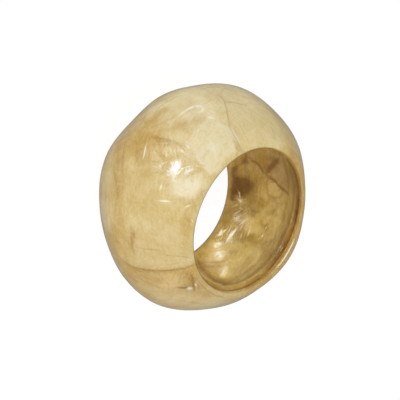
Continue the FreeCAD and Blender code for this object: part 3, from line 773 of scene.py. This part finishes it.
# grey-pale facets, and the mauve cast of the thick edge: painted reflection of grey surroundings in the gloss at a
# grazing angle
facet = patch([(156.8, -5.8), (153.0, -4.3), (152.4, -1.4), (155.8, 0.3), (158.2, -1.7)], 0.5, ragged=0.3, seed=21)
facet2 = patch([(164.2, -7.4), (159.5, -7.3), (159.2, -3.4), (163.2, -3.1)], 0.5, ragged=0.3, seed=22)
col = lerp(col, tone(204, 184, 144), 0.55 * facet)
col = lerp(col, tone(196, 178, 142), 0.60 * facet2)
low_side = smooth((-4.5 - Z) / 5.0) * OUT
col = lerp(col, MAUVE, 0.30 * low_side * (0.7 + 0.8 * fbm(P, 5.0, 181, 3)))

# lighter towards the top, the lower edge and the far left
col = lerp(col, tone(244, 228, 182), 0.50 * patch([(127.0, -5.0), (118.0, -3.5), (104.0, 0.0), (92.0, 5.0), (92.0, 11.0), (105.0, 11.2), (113.0, 9.0),
                                                   (121.0, 6.4), (134.0, 1.8)], 2.2, ragged=1.2, seed=69))
col = lerp(col, tone(238, 216, 160), 0.40 * patch([(240.0, 4.0), (262.0, 6.0), (280.0, 9.0), (290.0, 16.5), (272.0, 16.2), (258.0, 13.6), (247.0, 12.0),
                                                   (237.5, 9.4)], 2.2, ragged=1.4, seed=70))
col = lerp(col, tone(236, 220, 178), 0.45 * patch([(195.0, -8.0), (203.0, -7.0), (211.0, -4.0), (204.0, 0.6), (194.0, -0.5)], 1.6, ragged=1.0, seed=71))
col = lerp(col, tone(236, 216, 172), 0.40 * patch([(153.8, 6.7), (148.2, 8.7), (146.2, 12.1), (153.0, 13.4), (158.5, 11.6), (157.8, 8.2)], 1.6,
                                                  ragged=1.0, seed=72))

# painted sheen: a whitish halo beside the brightest spot
col = lerp(col, tone(248, 240, 216), 0.55 * patch([(173.5, 13.2), (167.2, 14.9), (162.5, 17.4), (170.0, 18.6), (178.5, 17.4), (179.8, 14.7)], 1.4,
                                                  ragged=0.8, seed=73))
col = lerp(col, tone(240, 224, 182), 0.42 * patch([(154.5, 8.8), (147.8, 9.6), (144.8, 12.8), (149.8, 14.3), (158.5, 14.3), (160.5, 10.6)], 1.2,
                                                  ragged=0.9, seed=74))
# painted highlight: a mottled near-white patch where the key light's reflection falls
col = lerp(col, tone(252, 249, 250), 0.85 * patch([(165.4, 11.3), (162.8, 12.0), (161.4, 12.8), (164.0, 13.5), (168.2, 13.5), (173.2, 13.4), (170.2, 12.1)], 0.3,
                                                  ragged=0.5, seed=85, size=1.0) * np.clip(0.75 + 1.1 * fbm(P, 0.9, 291, 2), 0.0, 1.0))
col = lerp(col, OCHRE, 0.42 * stroke([(172.0, 18.8), (184.0, 18.0), (193.8, 17.6), (205.8, 17.2), (217.0, 17.0)], 1.1, wobble=0.4, seed=75))
col = lerp(col, tone(244, 228, 180), 0.36 * patch([(112.0, 8.6), (106.0, 6.4), (94.0, 7.6), (84.0, 11.0), (82.0, 16.0), (96.0, 14.0), (110.0, 12.4)], 1.8,
                                                  ragged=1.0, seed=82))
col = lerp(col, tone(228, 200, 140), 0.42 * patch([(228.0, 10.0), (229.5, 15.6), (237.0, 15.0), (243.0, 11.0), (238.0, 8.0)], 1.4, ragged=0.8, seed=83))
col = lerp(col, GOLD, 0.22 * patch([(219.0, 3.0), (221.0, 12.0), (224.0, 16.6), (212.0, 16.0), (203.0, 9.0), (206.0, 3.0)], 1.8, ragged=1.0, seed=84))
gilt = np.clip(patch([(146.0, -8.0), (148.0, 2.9), (156.2, 7.7), (166.5, 6.3), (174.0, 0.3), (170.0, -6.0)], 2.4, ragged=1.4, seed=76)
               + 0.7 * patch([(110.0, 5.0), (89.2, 5.0), (74.0, 9.0), (70.0, 15.6), (96.7, 18.4), (113.5, 15.6)], 2.4, ragged=1.4, seed=77), 0.0, 1.0)
col = col * (1.0 - gilt[..., None] * np.array([0.0, 0.03, 0.13]))

col = lerp(col, tone(236, 214, 158), 0.58 * patch([(166.5, 4.4), (162.0, 5.2), (157.5, 8.0), (158.5, 11.0), (163.0, 10.6), (167.5, 7.6)], 1.3, ragged=0.8, seed=93))

# the chip in the resin near the mouth
col = lerp(col, tone(246, 232, 188), 0.38 * patch([(127.0, 6.6), (116.7, 7.8), (105.5, 9.0), (94.8, 9.9), (114.0, 13.9), (128.5, 13.8), (137.7, 11.7)], 1.6,
                                                  ragged=1.0, seed=90))
right_flank = patch([(94.0, 9.4), (80.0, 9.0), (62.0, 12.0), (64.0, 17.0), (77.5, 18.2), (90.0, 17.0), (101.5, 14.3)], 1.6, ragged=0.8, seed=91)
col = col * (1.0 - 0.6 * right_flank[..., None] * np.array([0.0, 0.02, 0.16]))
# painted highlight: the chip near-white where it catches the light
col = lerp(col, tone(246, 240, 226), 0.9 * patch([(247.0, 13.5), (245.6, 14.1), (247.1, 14.7), (249.3, 14.4), (248.4, 13.6)],
                                                0.3, ragged=0.1, seed=23, size=1.0))
col = lerp(col, OCHRE, 0.55 * np.clip(stroke([(243.0, 12.6), (245.0, 13.4)], 0.8) + stroke([(239.0, 16.0), (249.0, 14.9)], 0.7), 0, 1))

# inside: darker towards the upper back, paler towards the lower front; the darkening is painted shade, as if the rim
# shadows the upper back, and the lower front carries painted highlights
col_in = np.broadcast_to(LINING, R.shape + (3,)).copy()
col_in = lerp(col_in, LINING_DARK, np.clip(0.10 + 1.0 * broad + 0.20 * light * (1.0 - calm_in), 0.0, 0.6))
col_in = lerp(col_in, LINING_PALE, np.clip(-0.05 - 0.8 * blotch + 0.2 * warm * (1.0 - calm_in), 0.0, 0.6))
col_in = lerp(col_in, LINING_DARK, np.clip((0.45 + 0.85 * calm_in) * cloud - 0.05, 0.0, 0.6))
col_in = lerp(col_in, LINING_PALE, np.clip(-1.2 * cloud - 0.10, 0.0, 0.5) * (1.0 - smooth((DEG - 14.0) / 10.0) * (DEG < 60.0)))
seam_in = np.exp(-(in_edge / 0.32) ** 2) * (0.3 + 0.7 * smooth(0.5 + 1.6 * fbm(P, 6.0, 191, 2)))
col_in = lerp(col_in, UMBER, 0.50 * seam_in * (1.0 - calm_in))
# painted shade: the upper back of the lining darker, where the rim shadows it
painted_rim_shadow = patch([(60.0, -20.0), (14.0, -20.0), (12.0, -9.0), (22.0, -6.5), (27.0, -3.0), (24.0, 3.0), (30.0, 12.0), (60.0, 14.0)],
             2.5, "in", 1.2, 41)
col_in = lerp(col_in, LINING_DARK, 0.62 * painted_rim_shadow)
col_in = lerp(col_in, deep(126, 92, 38), 0.76 * patch([(27.5, -13.0), (28.8, -10.2), (28.2, -8.2), (23.2, -7.4), (17.2, -8.4), (14.0, -10.6),
                                                       (16.5, -13.0)], 1.1, "in", 0.6, 42))
col_in = lerp(col_in, deep(134, 98, 50), 0.75 * patch([(42.2, -10.4), (38.5, -9.4), (37.0, -11.4), (34.6, -13.4), (18.0, -13.4), (10.0, -13.2),
                                                        (10.0, -12.2), (20.0, -12.2), (31.0, -12.4), (36.0, -12.0)], 0.6, "in", 0.4, 43))
col_in = lerp(col_in, deep(182, 146, 80), 0.50 * patch([(33.8, -12.4), (35.0, -11.2), (33.6, -9.9), (29.4, -9.6), (27.4, -11.4), (29.4, -12.3)],
                                                        0.6, "in", 0.4, 64))
col_in = lerp(col_in, tone(224, 202, 142), 0.90 * patch([(27.0, -3.8), (27.8, -1.1), (24.0, 1.4), (20.5, 0.8), (18.8, -1.6), (20.4, -3.7)],
                                                        0.3, "in", 0.25, 45))
col_in = lerp(col_in, deep(196, 168, 110), 0.75 * patch([(37.8, -7.7), (33.2, -5.5), (27.8, -5.0), (28.2, -7.5), (33.5, -8.4)], 0.3, "in", 0.3, 86))
col_in = lerp(col_in, deep(212, 184, 130), 0.70 * patch([(42.0, 0.3), (40.2, 2.5), (32.2, 2.6), (27.5, 0.3), (29.8, -2.6), (37.5, -1.8)], 0.3, "in", 0.3, 87))
col_in = lerp(col_in, deep(204, 174, 124), 0.75 * patch([(32.0, -4.2), (38.0, -1.6), (34.0, 4.0), (26.4, 3.4), (28.4, -1.6)],
                                                        0.5, "in", 0.4, 46))
col_in = lerp(col_in, deep(188, 154, 94), 0.60 * patch([(42.0, -7.4), (45.0, -3.0), (40.5, -1.2), (34.5, -3.6), (36.0, -5.6)],
                                                       0.5, "in", 0.4, 47))
col_in = lerp(col_in, deep(204, 172, 98), 0.65 * patch([(36.0, -9.0), (31.0, -6.2), (25.0, -7.2), (27.0, -9.6)], 0.8, "in", 0.5, 48))
# painted shade: the lining darker where the two accent spots fall, to offset their light
lit = np.clip(blister(328.5, -7.5, 8.0, 7.0, 1.0) + 1.15 * blister(3.0, -9.0, 7.0, 5.0, 1.0) + 0.9 * blister(338.0, -3.5, 9.0, 5.5, 1.0) + 0.9 * blister(338.0, -12.6, 9.0, 2.0, 1.0) + 0.5 * blister(0.0, -12.8, 8.0, 1.8, 1.0), 0, 1.7)
col_in = col_in * (1.0 - lit[..., None] * np.array([0.27, 0.30, 0.40]))
col_in = lerp(col_in, deep(184, 150, 82), 0.45 * patch([(324.0, -6.4), (323.0, -8.4), (318.0, -9.6), (311.0, -9.0), (312.0, -6.0), (318.0, -4.6)],
                                                       0.8, "in", 0.7, 65) * (1.0 - patch([(314.8, -3.4), (319.0, -5.2), (324.0, -5.1), (325.4, -3.9), (316.3, -2.5)], 0.6, "in")))
streaky = np.clip(0.68 + 1.2 * value_noise(np.stack([np.radians(turn(DEG, 328.0)) * 23.0 * 0.45 + Z * 0.35, Z * 1.3 - np.radians(turn(DEG, 328.0)) * 12.0, R * 0.0], -1), 1.1, 271)
                  + 0.35 * fbm(P, 1.4, 281, 3), 0.0, 1.0)
col_in = lerp(col_in, tone(220, 194, 136), 0.66 * patch([(336.0, -11.8), (338.2, -10.2), (334.6, -8.4), (331.8, -7.2), (326.0, -6.9), (322.6, -9.6),
                                                         (325.4, -11.9), (331.0, -12.0)], 0.7, "in", 0.6, 272))
# painted highlights: three streaked near-white patches on the lower front of the lining, where soft reflections fall
col_in = lerp(col_in, tone(254, 251, 244), 0.97 * streaky * patch([(334.4, -11.6), (336.8, -11.2), (337.2, -10.2), (333.3, -9.9), (331.8, -11.0)],
                                                        0.25, "in", 0.3, 49, 1.6))
col_in = lerp(col_in, tone(252, 248, 236), 0.97 * streaky * patch([(325.6, -9.2), (329.0, -9.7), (333.6, -9.0), (333.7, -7.9), (329.2, -6.9),
                                                         (325.4, -7.0), (324.2, -8.4)], 0.3, "in", 0.4, 50, 1.6))
col_in = lerp(col_in, tone(250, 244, 228), 0.85 * streaky * patch([(314.8, -3.4), (319.0, -5.0), (324.0, -4.9), (325.4, -3.9), (321.6, -2.8), (316.3, -2.5)],
                                                        0.3, "in", 0.4, 51, 1.6))
col_in = lerp(col_in, LINING_PALE, 0.30 * patch([(342.0, -10.0), (347.0, -1.0), (336.0, 6.0), (322.0, 4.0), (313.0, -3.0), (318.0, -9.0), (330.0, -11.5)],
                                                2.2, "in", 1.4, 59))
col_in = lerp(col_in, LINING_DARK, 0.28 * patch([(30.0, -9.0), (16.0, -9.0), (9.0, -5.5), (12.0, 0.0), (19.0, -2.0), (28.0, -5.0)],
                                                1.6, "in", 1.0, 60))
col_in = lerp(col_in, tone(232, 212, 160), 0.45 * patch([(0.2, -8.4), (3.0, -6.8), (0.8, -4.2), (354.8, -3.3), (351.5, -5.1), (353.5, -7.5)], 1.2, "in", 0.9, 88))
col_in = lerp(col_in, tone(228, 210, 168), 0.34 * patch([(318.0, -7.5), (330.0, -6.5), (336.0, -3.5), (330.0, -0.5), (320.0, -0.5), (314.0, -3.5)], 1.5, "in",
                                                        1.0, 89))
col_in = lerp(col_in, tone(236, 216, 158), 0.14 * patch([(340.2, -4.2), (350.0, -2.2), (349.0, 3.0), (337.5, 5.0), (329.5, 2.1), (332.5, -2.4)], 1.5, "in", 1.0, 92))
ground = smooth((Z + 9.0) / 6.0) * INN
col_in = col_in * (1.0 + ground[..., None] * np.array([0.05, 0.03, -0.22]))
# painted shade: bands along the line where the lining comes into view past the ridge, darkest next to it as if in its
# shadow; the same bands again lower down at 310 to 322 degrees
EDGE = [(313.0, -1.0), (317.0, 1.8), (321.0, 3.4), (325.0, 4.3), (329.0, 5.0), (337.0, 5.8),
        (345.0, 6.3), (353.0, 6.6), (0.0, 6.9), (8.0, 7.6), (16.0, 8.0), (24.0, 8.0), (32.0, 7.6), (40.0, 6.0)]
col_in = lerp(col_in, deep(152, 114, 48), 0.62 * stroke([(d, z + 0.8) for d, z in EDGE], 1.0, "in", 0.3, 61))
col_in = lerp(col_in, deep(196, 164, 90), 0.45 * stroke([(d, z - 1.6) for d, z in EDGE], 0.7, "in", 0.5, 62))
col_in = lerp(col_in, deep(148, 112, 46), 0.40 * stroke([(d, z - 3.2) for d, z in EDGE[2:]], 0.45, "in", 0.7, 63))
col_in = lerp(col_in, deep(152, 114, 50), 0.60 * stroke([(314.0, 0.2), (312.0, -2.4), (310.6, -5.0), (310.4, -7.6), (312.0, -10.4)], 1.0, "in", 0.3, 79))
col_in = lerp(col_in, deep(196, 164, 96), 0.50 * stroke([(315.6, 0.0), (314.2, -2.4), (312.9, -5.0), (312.9, -7.6)], 0.6, "in", 0.3, 80))
col_in = lerp(col_in, deep(146, 110, 50), 0.45 * stroke([(322.0, -6.0), (319.0, -7.4), (316.0, -8.6), (315.0, -11.0)], 0.6, "in", 0.4, 81))
drop = mouth_z(P[..., 0], P[..., 1]) - Z
# painted shade: the lining just inside the mouth darker, as if in the lip's shadow, less so at the bottom
shade = np.clip((drop - 2.6) / 0.4, 0, 1) * np.exp(-((drop - 3.0) / 5.5) ** 2) * (1.0 - 0.5 * np.exp(-(turn(DEG, 284.0) / 24.0) ** 2))
col_in = lerp(col_in, OCHRE * 0.72, 0.55 * shade)
inside = (zone >= 4)
col = np.where(inside[..., None], col_in, col)

# the mouth: gilded lip, dark groove with painted shade, pale ridge
col = lerp(col, tone(224, 194, 124), 0.50 * patch([(88.0, 10.0), (76.0, 12.0), (66.0, 14.0), (52.0, 14.6), (40.0, 14.0), (40.0, 16.6), (56.0, 17.6),
                                                   (70.0, 17.8), (88.0, 16.6)], 1.2, ragged=0.7, seed=78))
lip_side = smooth((112.0 - np.abs(turn(DEG, 340.0))) / 22.0)                 # 0 where the milky face runs up to the edge
lip_tone = smooth((Z - (mouth_z(P[..., 0], P[..., 1]) - 1.4)) / 1.3) * ((zone == 1) | (zone == 2))
low_lip = np.exp(-(turn(DEG, 268.0) / 26.0) ** 2)
col = lerp(col, tone(188, 156, 90), 0.85 * lip_tone * lip_side * (1.0 - 0.5 * low_lip))
col = lerp(col, tone(226, 200, 146), 0.55 * lip_tone * low_lip)
col = lerp(col, tone(168, 124, 44), 0.95 * (zone == 3))
col = lerp(col, tone(222, 194, 134), 0.55 * ((zone == 2) | (zone == 3)) * np.exp(-(turn(DEG, 284.0) / 16.0) ** 2))
# painted shade: the groove dark as a recess in shadow
groove = (zone == 4) * smooth((drop - 0.10) / 0.3) * (1.0 - smooth((drop - 1.55) / 0.85))
col = lerp(col, tone(150, 108, 36), 0.95 * groove * (0.82 + 0.5 * fbm(P, 3.0, 231, 3)))
ridge = (zone >= 4) * np.exp(-((drop - 2.60) / 0.55) ** 2)
col = lerp(col, tone(152, 120, 60), 0.85 * ridge)
# painted shade: the groove darker still at about 338 degrees
col = lerp(col, tone(124, 88, 34), 0.60 * np.exp(-(turn(DEG, 338.0) / 20.0) ** 2) * (zone == 4) * (drop < 3.0))
col = lerp(col, deep(168, 112, 26), 0.90 * (1.0 - lip_side) * (zone == 3))
low_groove = np.exp(-(turn(DEG, 287.0) / 23.0) ** 2) * (zone == 4) * smooth((drop - 0.9) / 0.6)
col = lerp(col, tone(222, 184, 106), 0.80 * low_groove)
# painted shade: the groove and the lip's inner edge darker towards the upper right
dusky = np.exp(-(turn(DEG, 48.0) / 38.0) ** 2)                                # the groove is darkest at the upper right
col = lerp(col, deep(116, 80, 30), 0.66 * dusky * (zone == 4))
col = lerp(col, tone(140, 104, 44), 0.60 * dusky * (zone == 3))
col = lerp(col, UMBER, 0.6 * (zone == 4) * stroke([(331.6, 14.3), (333.6, 14.6)], 0.5, "in"))

# the far rim, thin and grey-brown: painted shade along its edge
far = smooth((1.6 - (Z - foot_z(P[..., 0], P[..., 1]))) / 1.4)
col = lerp(col, tone(128, 100, 70), 0.85 * far)

crinkle = (zone != 4) * np.clip(patch([(150.0, 6.0), (150.0, 15.0), (160.0, 17.6), (188.0, 17.0), (190.0, 10.0), (176.0, 7.0), (164.0, 4.6)], 3.0, seed=24)
                  + 1.0 * patch([(20.0, -13.0), (8.0, -6.0), (352.0, -4.0), (338.0, -6.0), (340.0, -12.0), (350.0, -12.6)], 2.5, "in", 0.8, 53)
                  + np.clip(1.6 * fbm(P + 11.0, 9.0, 211, 2) - 0.15, 0.0, 0.7) * (1.0 - calm_all), 0.0, 1.0)

# ------------------------------------------------------------------------------------------
# Mesh
# ------------------------------------------------------------------------------------------
verts = stand(Q.reshape(-1, 3)) * 0.001
flat_foot = np.isin(zone.reshape(-1), (7,))
verts[flat_foot, 2] = 0.0
verts[:, 2] = np.maximum(verts[:, 2], 0.0)

i = np.arange(ROWS)[:, None]
j = np.arange(AROUND)[None, :]
i2, j2 = (i + 1) % ROWS, (j + 1) % AROUND
faces = np.stack([i * AROUND + j, i * AROUND + j2, i2 * AROUND + j2, i2 * AROUND + j], -1).reshape(-1, 4)

mesh = bpy.data.meshes.new("ring_shell")
mesh.from_pydata(verts.tolist(), [], faces.tolist())
mesh.update()
mesh.polygons.foreach_set("use_smooth", np.ones(len(mesh.polygons), bool))


def attribute(name, values, kind="FLOAT"):
    layer = mesh.attributes.new(name, kind, "POINT")
    layer.data.foreach_set("vector" if kind == "FLOAT_VECTOR" else "value",
                           np.ascontiguousarray(values, dtype=np.float32).reshape(-1))


rgba = np.ones((ROWS * AROUND, 4), np.float32)
rgba[:, :3] = np.clip(col, 0.0, 1.0).reshape(-1, 3)
layer = mesh.attributes.new("shell_tint", "FLOAT_COLOR", "POINT")
layer.data.foreach_set("color", rgba.reshape(-1))
attribute("grain", grain, "FLOAT_VECTOR")
attribute("crinkle", crinkle)
attribute("folds", np.where(INN, crinkle, 0.17 * crinkle))
for name, lines in (("dark", dark), ("pale", pale)):
    attribute(name + "_line", lines.signed)
    attribute(name + "_width", lines.width)
    attribute(name + "_power", lines.power)

ring = bpy.data.objects.new("ring_shell", mesh)
bpy.context.scene.collection.objects.link(ring)
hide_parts("ring_body")
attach(ring, "root")

# ------------------------------------------------------------------------------------------
# Material: nacre flakes under clear polished resin
# ------------------------------------------------------------------------------------------
mat = bpy.data.materials.new("shell_in_resin")
mat.use_nodes = True
nt = mat.node_tree
nt.nodes.clear()


def node(kind, **sets):
    n = nt.nodes.new(kind)
    for k, v in sets.items():
        if hasattr(n, k):
            setattr(n, k, v)
        else:
            n.inputs[k.replace("_", " ")].default_value = v
    return n


def link(a, b):
    nt.links.new(a, b)


def math_node(operation, *args):
    n = nt.nodes.new("ShaderNodeMath")
    n.operation = operation
    for k, a in enumerate(args):
        if hasattr(a, "is_linked") or hasattr(a, "links"):
            link(a, n.inputs[k])
        else:
            n.inputs[k].default_value = a
    return n.outputs[0]


def scaled(vector, by):
    n = nt.nodes.new("ShaderNodeVectorMath")
    n.operation = "MULTIPLY"
    link(vector, n.inputs[0])
    n.inputs[1].default_value = by
    return n.outputs[0]


def noise(vector, scale, detail=3.0, rough=0.55, distort=0.0, kind="FBM"):
    n = nt.nodes.new("ShaderNodeTexNoise")
    n.noise_type = kind
    link(vector, n.inputs["Vector"])
    n.inputs["Scale"].default_value = scale
    n.inputs["Detail"].default_value = detail
    n.inputs["Roughness"].default_value = rough
    n.inputs["Distortion"].default_value = distort
    return n.outputs[0]


def remap(value, a, b, c, d):
    n = nt.nodes.new("ShaderNodeMapRange")
    link(value, n.inputs["Value"])
    for name, v in zip(("From Min", "From Max", "To Min", "To Max"), (a, b, c, d)):
        n.inputs[name].default_value = v
    return n.outputs[0]


def blend(a, b, factor, kind="MIX"):
    n = nt.nodes.new("ShaderNodeMix")
    n.data_type = "RGBA"
    n.blend_type = kind
    for socket, v in ((n.inputs[6], a), (n.inputs[7], b), (n.inputs[0], factor)):
        if hasattr(v, "is_linked"):
            link(v, socket)
        else:
            socket.default_value = v
    return n.outputs[2]


def read(name):
    return node("ShaderNodeAttribute", attribute_name=name)


out = node("ShaderNodeOutputMaterial")
bsdf = node("ShaderNodeBsdfPrincipled")
link(bsdf.outputs[0], out.inputs[0])
tint = read("shell_tint").outputs["Color"]
fibre = read("grain").outputs["Vector"]
crinkles = read("crinkle").outputs["Fac"]
place_mm = scaled(node("ShaderNodeTexCoord").outputs["Object"], (1000.0, 1000.0, 1000.0))


def drawn(name):
    """0..1 across the nearest line: full in its middle, soft at its sides."""
    d = math_node("DIVIDE", read(name + "_line").outputs["Fac"], read(name + "_width").outputs["Fac"])
    bell = math_node("EXPONENT", math_node("MULTIPLY", math_node("MULTIPLY", d, d), -1.0))
    return math_node("MULTIPLY", bell, read(name + "_power").outputs["Fac"])


fibres = noise(scaled(fibre, (0.30, 1.9, 1.0)), 1.0, 4.0, 0.60, 0.6)
threads = noise(scaled(fibre, (0.55, 4.6, 1.0)), 1.0, 3.0, 0.60, 0.4)
mottle = noise(place_mm, 0.42, 5.0, 0.62, 0.8)
grit = noise(place_mm, 1.9, 3.0, 0.60, 0.3)
ridges = noise(scaled(fibre, (0.42, 1.05, 1.0)), 1.0, 3.0, 0.55, 1.2, "RIDGED_MULTIFRACTAL")

shade = math_node("ADD", math_node("MULTIPLY", math_node("SUBTRACT", fibres, 0.5), 0.75),
                  math_node("MULTIPLY", math_node("SUBTRACT", threads, 0.5), 0.55))
shade = math_node("ADD", shade, math_node("MULTIPLY", math_node("SUBTRACT", mottle, 0.5), 1.0))
shade = math_node("ADD", shade, math_node("MULTIPLY", math_node("SUBTRACT", grit, 0.5), 0.9))
darker = blend(tint, (0.72, 0.60, 0.33, 1.0), 1.0, "MULTIPLY")
grey = node("ShaderNodeRGBToBW")                 # a dark place is only a little paler in its pale spots
link(tint, grey.inputs[0])
paler = blend(tint, (0.92, 0.84, 0.62, 1.0), remap(grey.outputs[0], 0.15, 0.42, 0.08, 0.5))
colour = blend(tint, darker, math_node("MINIMUM", math_node("MAXIMUM", math_node("MULTIPLY", shade, 1.1), 0.0), 0.7))
colour = blend(colour, paler, math_node("MINIMUM", math_node("MAXIMUM", math_node("MULTIPLY", shade, -1.3), 0.0), 0.7))
crease = math_node("MINIMUM", math_node("MULTIPLY", drawn("dark"), remap(grit, 0.3, 0.6, 0.75, 1.1)), 0.9)
umber = blend(tint, (0.62, 0.46, 0.22, 1.0), 1.0, "MULTIPLY")
colour = blend(colour, umber, crease)
# painted glints: the pale lines pull the colour toward cream-white
gleam = math_node("MINIMUM", math_node("MULTIPLY", drawn("pale"), remap(grit, 0.3, 0.6, 0.7, 1.15)), 1.0)
colour = blend(colour, blend((0.86, 0.72, 0.42, 1.0), (0.98, 0.94, 0.82, 1.0), math_node("MINIMUM", math_node("MULTIPLY", gleam, 1.3), 1.0)), gleam)
link(colour, bsdf.inputs["Base Color"])

# the flakes under the resin are uneven; the resin over them is smooth and only gently wavy
height = math_node("ADD", math_node("MULTIPLY", fibres, 0.10), math_node("MULTIPLY", threads, 0.04))
height = math_node("ADD", height, math_node("MULTIPLY", mottle, 0.25))
height = math_node("ADD", height, math_node("MULTIPLY", math_node("MULTIPLY", ridges, crinkles), 0.22))
height = math_node("ADD", height, math_node("MULTIPLY", gleam, 0.10))
height = math_node("SUBTRACT", height, math_node("MULTIPLY", crease, 0.10))
below = node("ShaderNodeBump", Strength=0.9, Distance=0.001)
link(height, below.inputs["Height"])
link(below.outputs[0], bsdf.inputs["Normal"])
folded = noise(place_mm, 0.62, 3.0, 0.5, 0.9, "RIDGED_MULTIFRACTAL")
wave = math_node("ADD", math_node("MULTIPLY", noise(place_mm, 0.22, 3.0, 0.5, 0.4), 0.16),
                 math_node("MULTIPLY", math_node("MULTIPLY", folded, read("folds").outputs["Fac"]), 0.30))
wave = math_node("ADD", wave, math_node("MULTIPLY", grit, 0.005))
above = node("ShaderNodeBump", Strength=1.0, Distance=0.001)
link(wave, above.inputs["Height"])
link(above.outputs[0], bsdf.inputs["Coat Normal"])

bsdf.inputs["Metallic"].default_value = 0.05
bsdf.inputs["Roughness"].default_value = 0.44
bsdf.inputs["Specular IOR Level"].default_value = 0.35
bsdf.inputs["Subsurface Weight"].default_value = 0.35
bsdf.inputs["Subsurface Radius"].default_value = (1.0, 0.85, 0.45)
bsdf.inputs["Subsurface Scale"].default_value = 0.006
bsdf.inputs["Coat Weight"].default_value = 1.0
bsdf.inputs["Coat Roughness"].default_value = 0.15
bsdf.inputs["Coat IOR"].default_value = 1.5
ring.data.materials.append(mat)

# ------------------------------------------------------------------------------------------
# Floor, light and camera
# ------------------------------------------------------------------------------------------
RIGHT = Vector((-0.31563032, 0.72837036, 0.60815633))
UP = Vector((-0.94843609, -0.26181844, -0.17866195))
TOWARD = Vector((0.02909447, -0.63318854, 0.77345057))
MIDDLE = Vector((0.0, 0.0, 0.0165))


def glow(tree, shader, diffuse, mirrored):
    """Strength of an emitter as diffuse light, and the dimmer one that shows in reflections."""
    path = tree.nodes.new("ShaderNodeLightPath")
    mix = tree.nodes.new("ShaderNodeMapRange")
    mix.inputs["To Min"].default_value = diffuse
    mix.inputs["To Max"].default_value = mirrored
    tree.links.new(path.outputs["Is Glossy Ray"], mix.inputs["Value"])
    tree.links.new(mix.outputs[0], shader.inputs["Strength"])


def plain_floor(name, strength):
    m = bpy.data.meshes.new(name)
    m.from_pydata([(-3, -3, 0), (3, -3, 0), (3, 3, 0), (-3, 3, 0)], [], [(0, 1, 2, 3)])
    ob = bpy.data.objects.new(name, m)
    bpy.context.scene.collection.objects.link(ob)
    fm = bpy.data.materials.new(name)
    fm.use_nodes = True
    tree = fm.node_tree
    tree.nodes.clear()
    end = tree.nodes.new("ShaderNodeOutputMaterial")
    lamp = tree.nodes.new("ShaderNodeEmission")
    lamp.inputs["Strength"].default_value = strength
    flat = tree.nodes.new("ShaderNodeBsdfDiffuse")
    both = tree.nodes.new("ShaderNodeAddShader")
    tree.links.new(lamp.outputs[0], both.inputs[0])
    tree.links.new(flat.outputs[0], both.inputs[1])
    tree.links.new(both.outputs[0], end.inputs[0])
    ob.data.materials.append(fm)
    return ob, tree, lamp, flat


# the floor as it is seen, and the one that lights the ring and shows in its gloss
seen, _, _, flat = plain_floor("floor", 0.93)
flat.inputs["Color"].default_value = (0.10, 0.10, 0.10, 1)
seen.visible_diffuse = seen.visible_glossy = seen.visible_transmission = seen.visible_shadow = False
bounce, tree, lamp, flat = plain_floor("floor_bounce", 1.0)
flat.inputs["Color"].default_value = (0.05, 0.05, 0.05, 1)
glow(tree, lamp, 1.00, 0.22)
bounce.visible_camera = False
bounce.location.z = -0.0002

world = bpy.data.worlds.new("studio")
bpy.context.scene.world = world
world.use_nodes = True
sky = world.node_tree.nodes["Background"]
sky.inputs["Color"].default_value = (1.0, 1.0, 1.0, 1)
glow(world.node_tree, sky, 0.58, 0.21)


def soft_light(name, right, up, toward, distance, size, watts, colour=(1, 1, 1)):
    """A round studio light in a direction given as the camera sees it, turned to the ring."""
    d = (RIGHT * right + UP * up + TOWARD * toward).normalized()
    data = bpy.data.lights.new(name, "AREA")
    data.shape = "DISK"
    data.size = size
    data.energy = watts
    data.color = colour
    ob = bpy.data.objects.new(name, data)
    ob.location = MIDDLE + d * distance
    ob.rotation_euler = d.to_track_quat("Z", "Y").to_euler()
    bpy.context.scene.collection.objects.link(ob)
    return ob


soft_light("key", -0.19, 0.40, 0.90, 0.6, 0.050, 0.15, (0.94, 0.95, 1.0))


def accent(name, right, up, toward, target, spread, watts, size):
    """A narrow spot through the mouth onto one place of the lining (target in metres)."""
    d = (RIGHT * right + UP * up + TOWARD * toward).normalized()
    data = bpy.data.lights.new(name, "SPOT")
    data.energy = watts
    data.spot_size = math.radians(spread)
    data.spot_blend = 1.0
    data.shadow_soft_size = size
    ob = bpy.data.objects.new(name, data)
    ob.location = Vector(target) + d * 0.6
    ob.rotation_euler = d.to_track_quat("Z", "Y").to_euler()
    bpy.context.scene.collection.objects.link(ob)
    return ob


def on_lining(d, z):
    return Vector((stand(place([(d, z), (d + 0.5, z)], "in")[:1])[0] * 0.001).tolist())


accent("accent_low", 0.35, 0.35, 0.87, on_lining(330.0, -8.4), 2.4, 11.5, 0.012).visible_glossy = False
folds_light = accent("accent_folds", 0.02, 0.05, 1.0, on_lining(3.0, -9.5), 2.0, 3.8, 0.010)
folds_light.visible_glossy = False
for name, right, up, toward, watts in (("front", 0.0, 0.12, 1.0, 1.52), ("low", 0.25, -0.65, 0.72, 1.0)):
    soft_light(name, right, up, toward, 0.7, 0.35, watts).visible_glossy = False

cam_data = bpy.data.cameras.new("camera")
cam_data.sensor_width = 36.0
cam_data.sensor_fit = "HORIZONTAL"
cam_data.lens = 103.446
cam_data.clip_start = 0.01
cam_data.clip_end = 20.0
cam = bpy.data.objects.new("camera", cam_data)
rot = Matrix((RIGHT, UP, TOWARD)).transposed().to_4x4()
rot.translation = Vector((0.00957229528, -0.19014889189, 0.24664373721))
cam.matrix_world = rot
bpy.context.scene.collection.objects.link(cam)
bpy.context.scene.camera = cam

scene = bpy.context.scene
scene.view_settings.view_transform = "Standard"
scene.view_settings.look = "None"
scene.view_settings.exposure = 0.0
scene.view_settings.gamma = 1.0

bpy.context.view_layer.update()
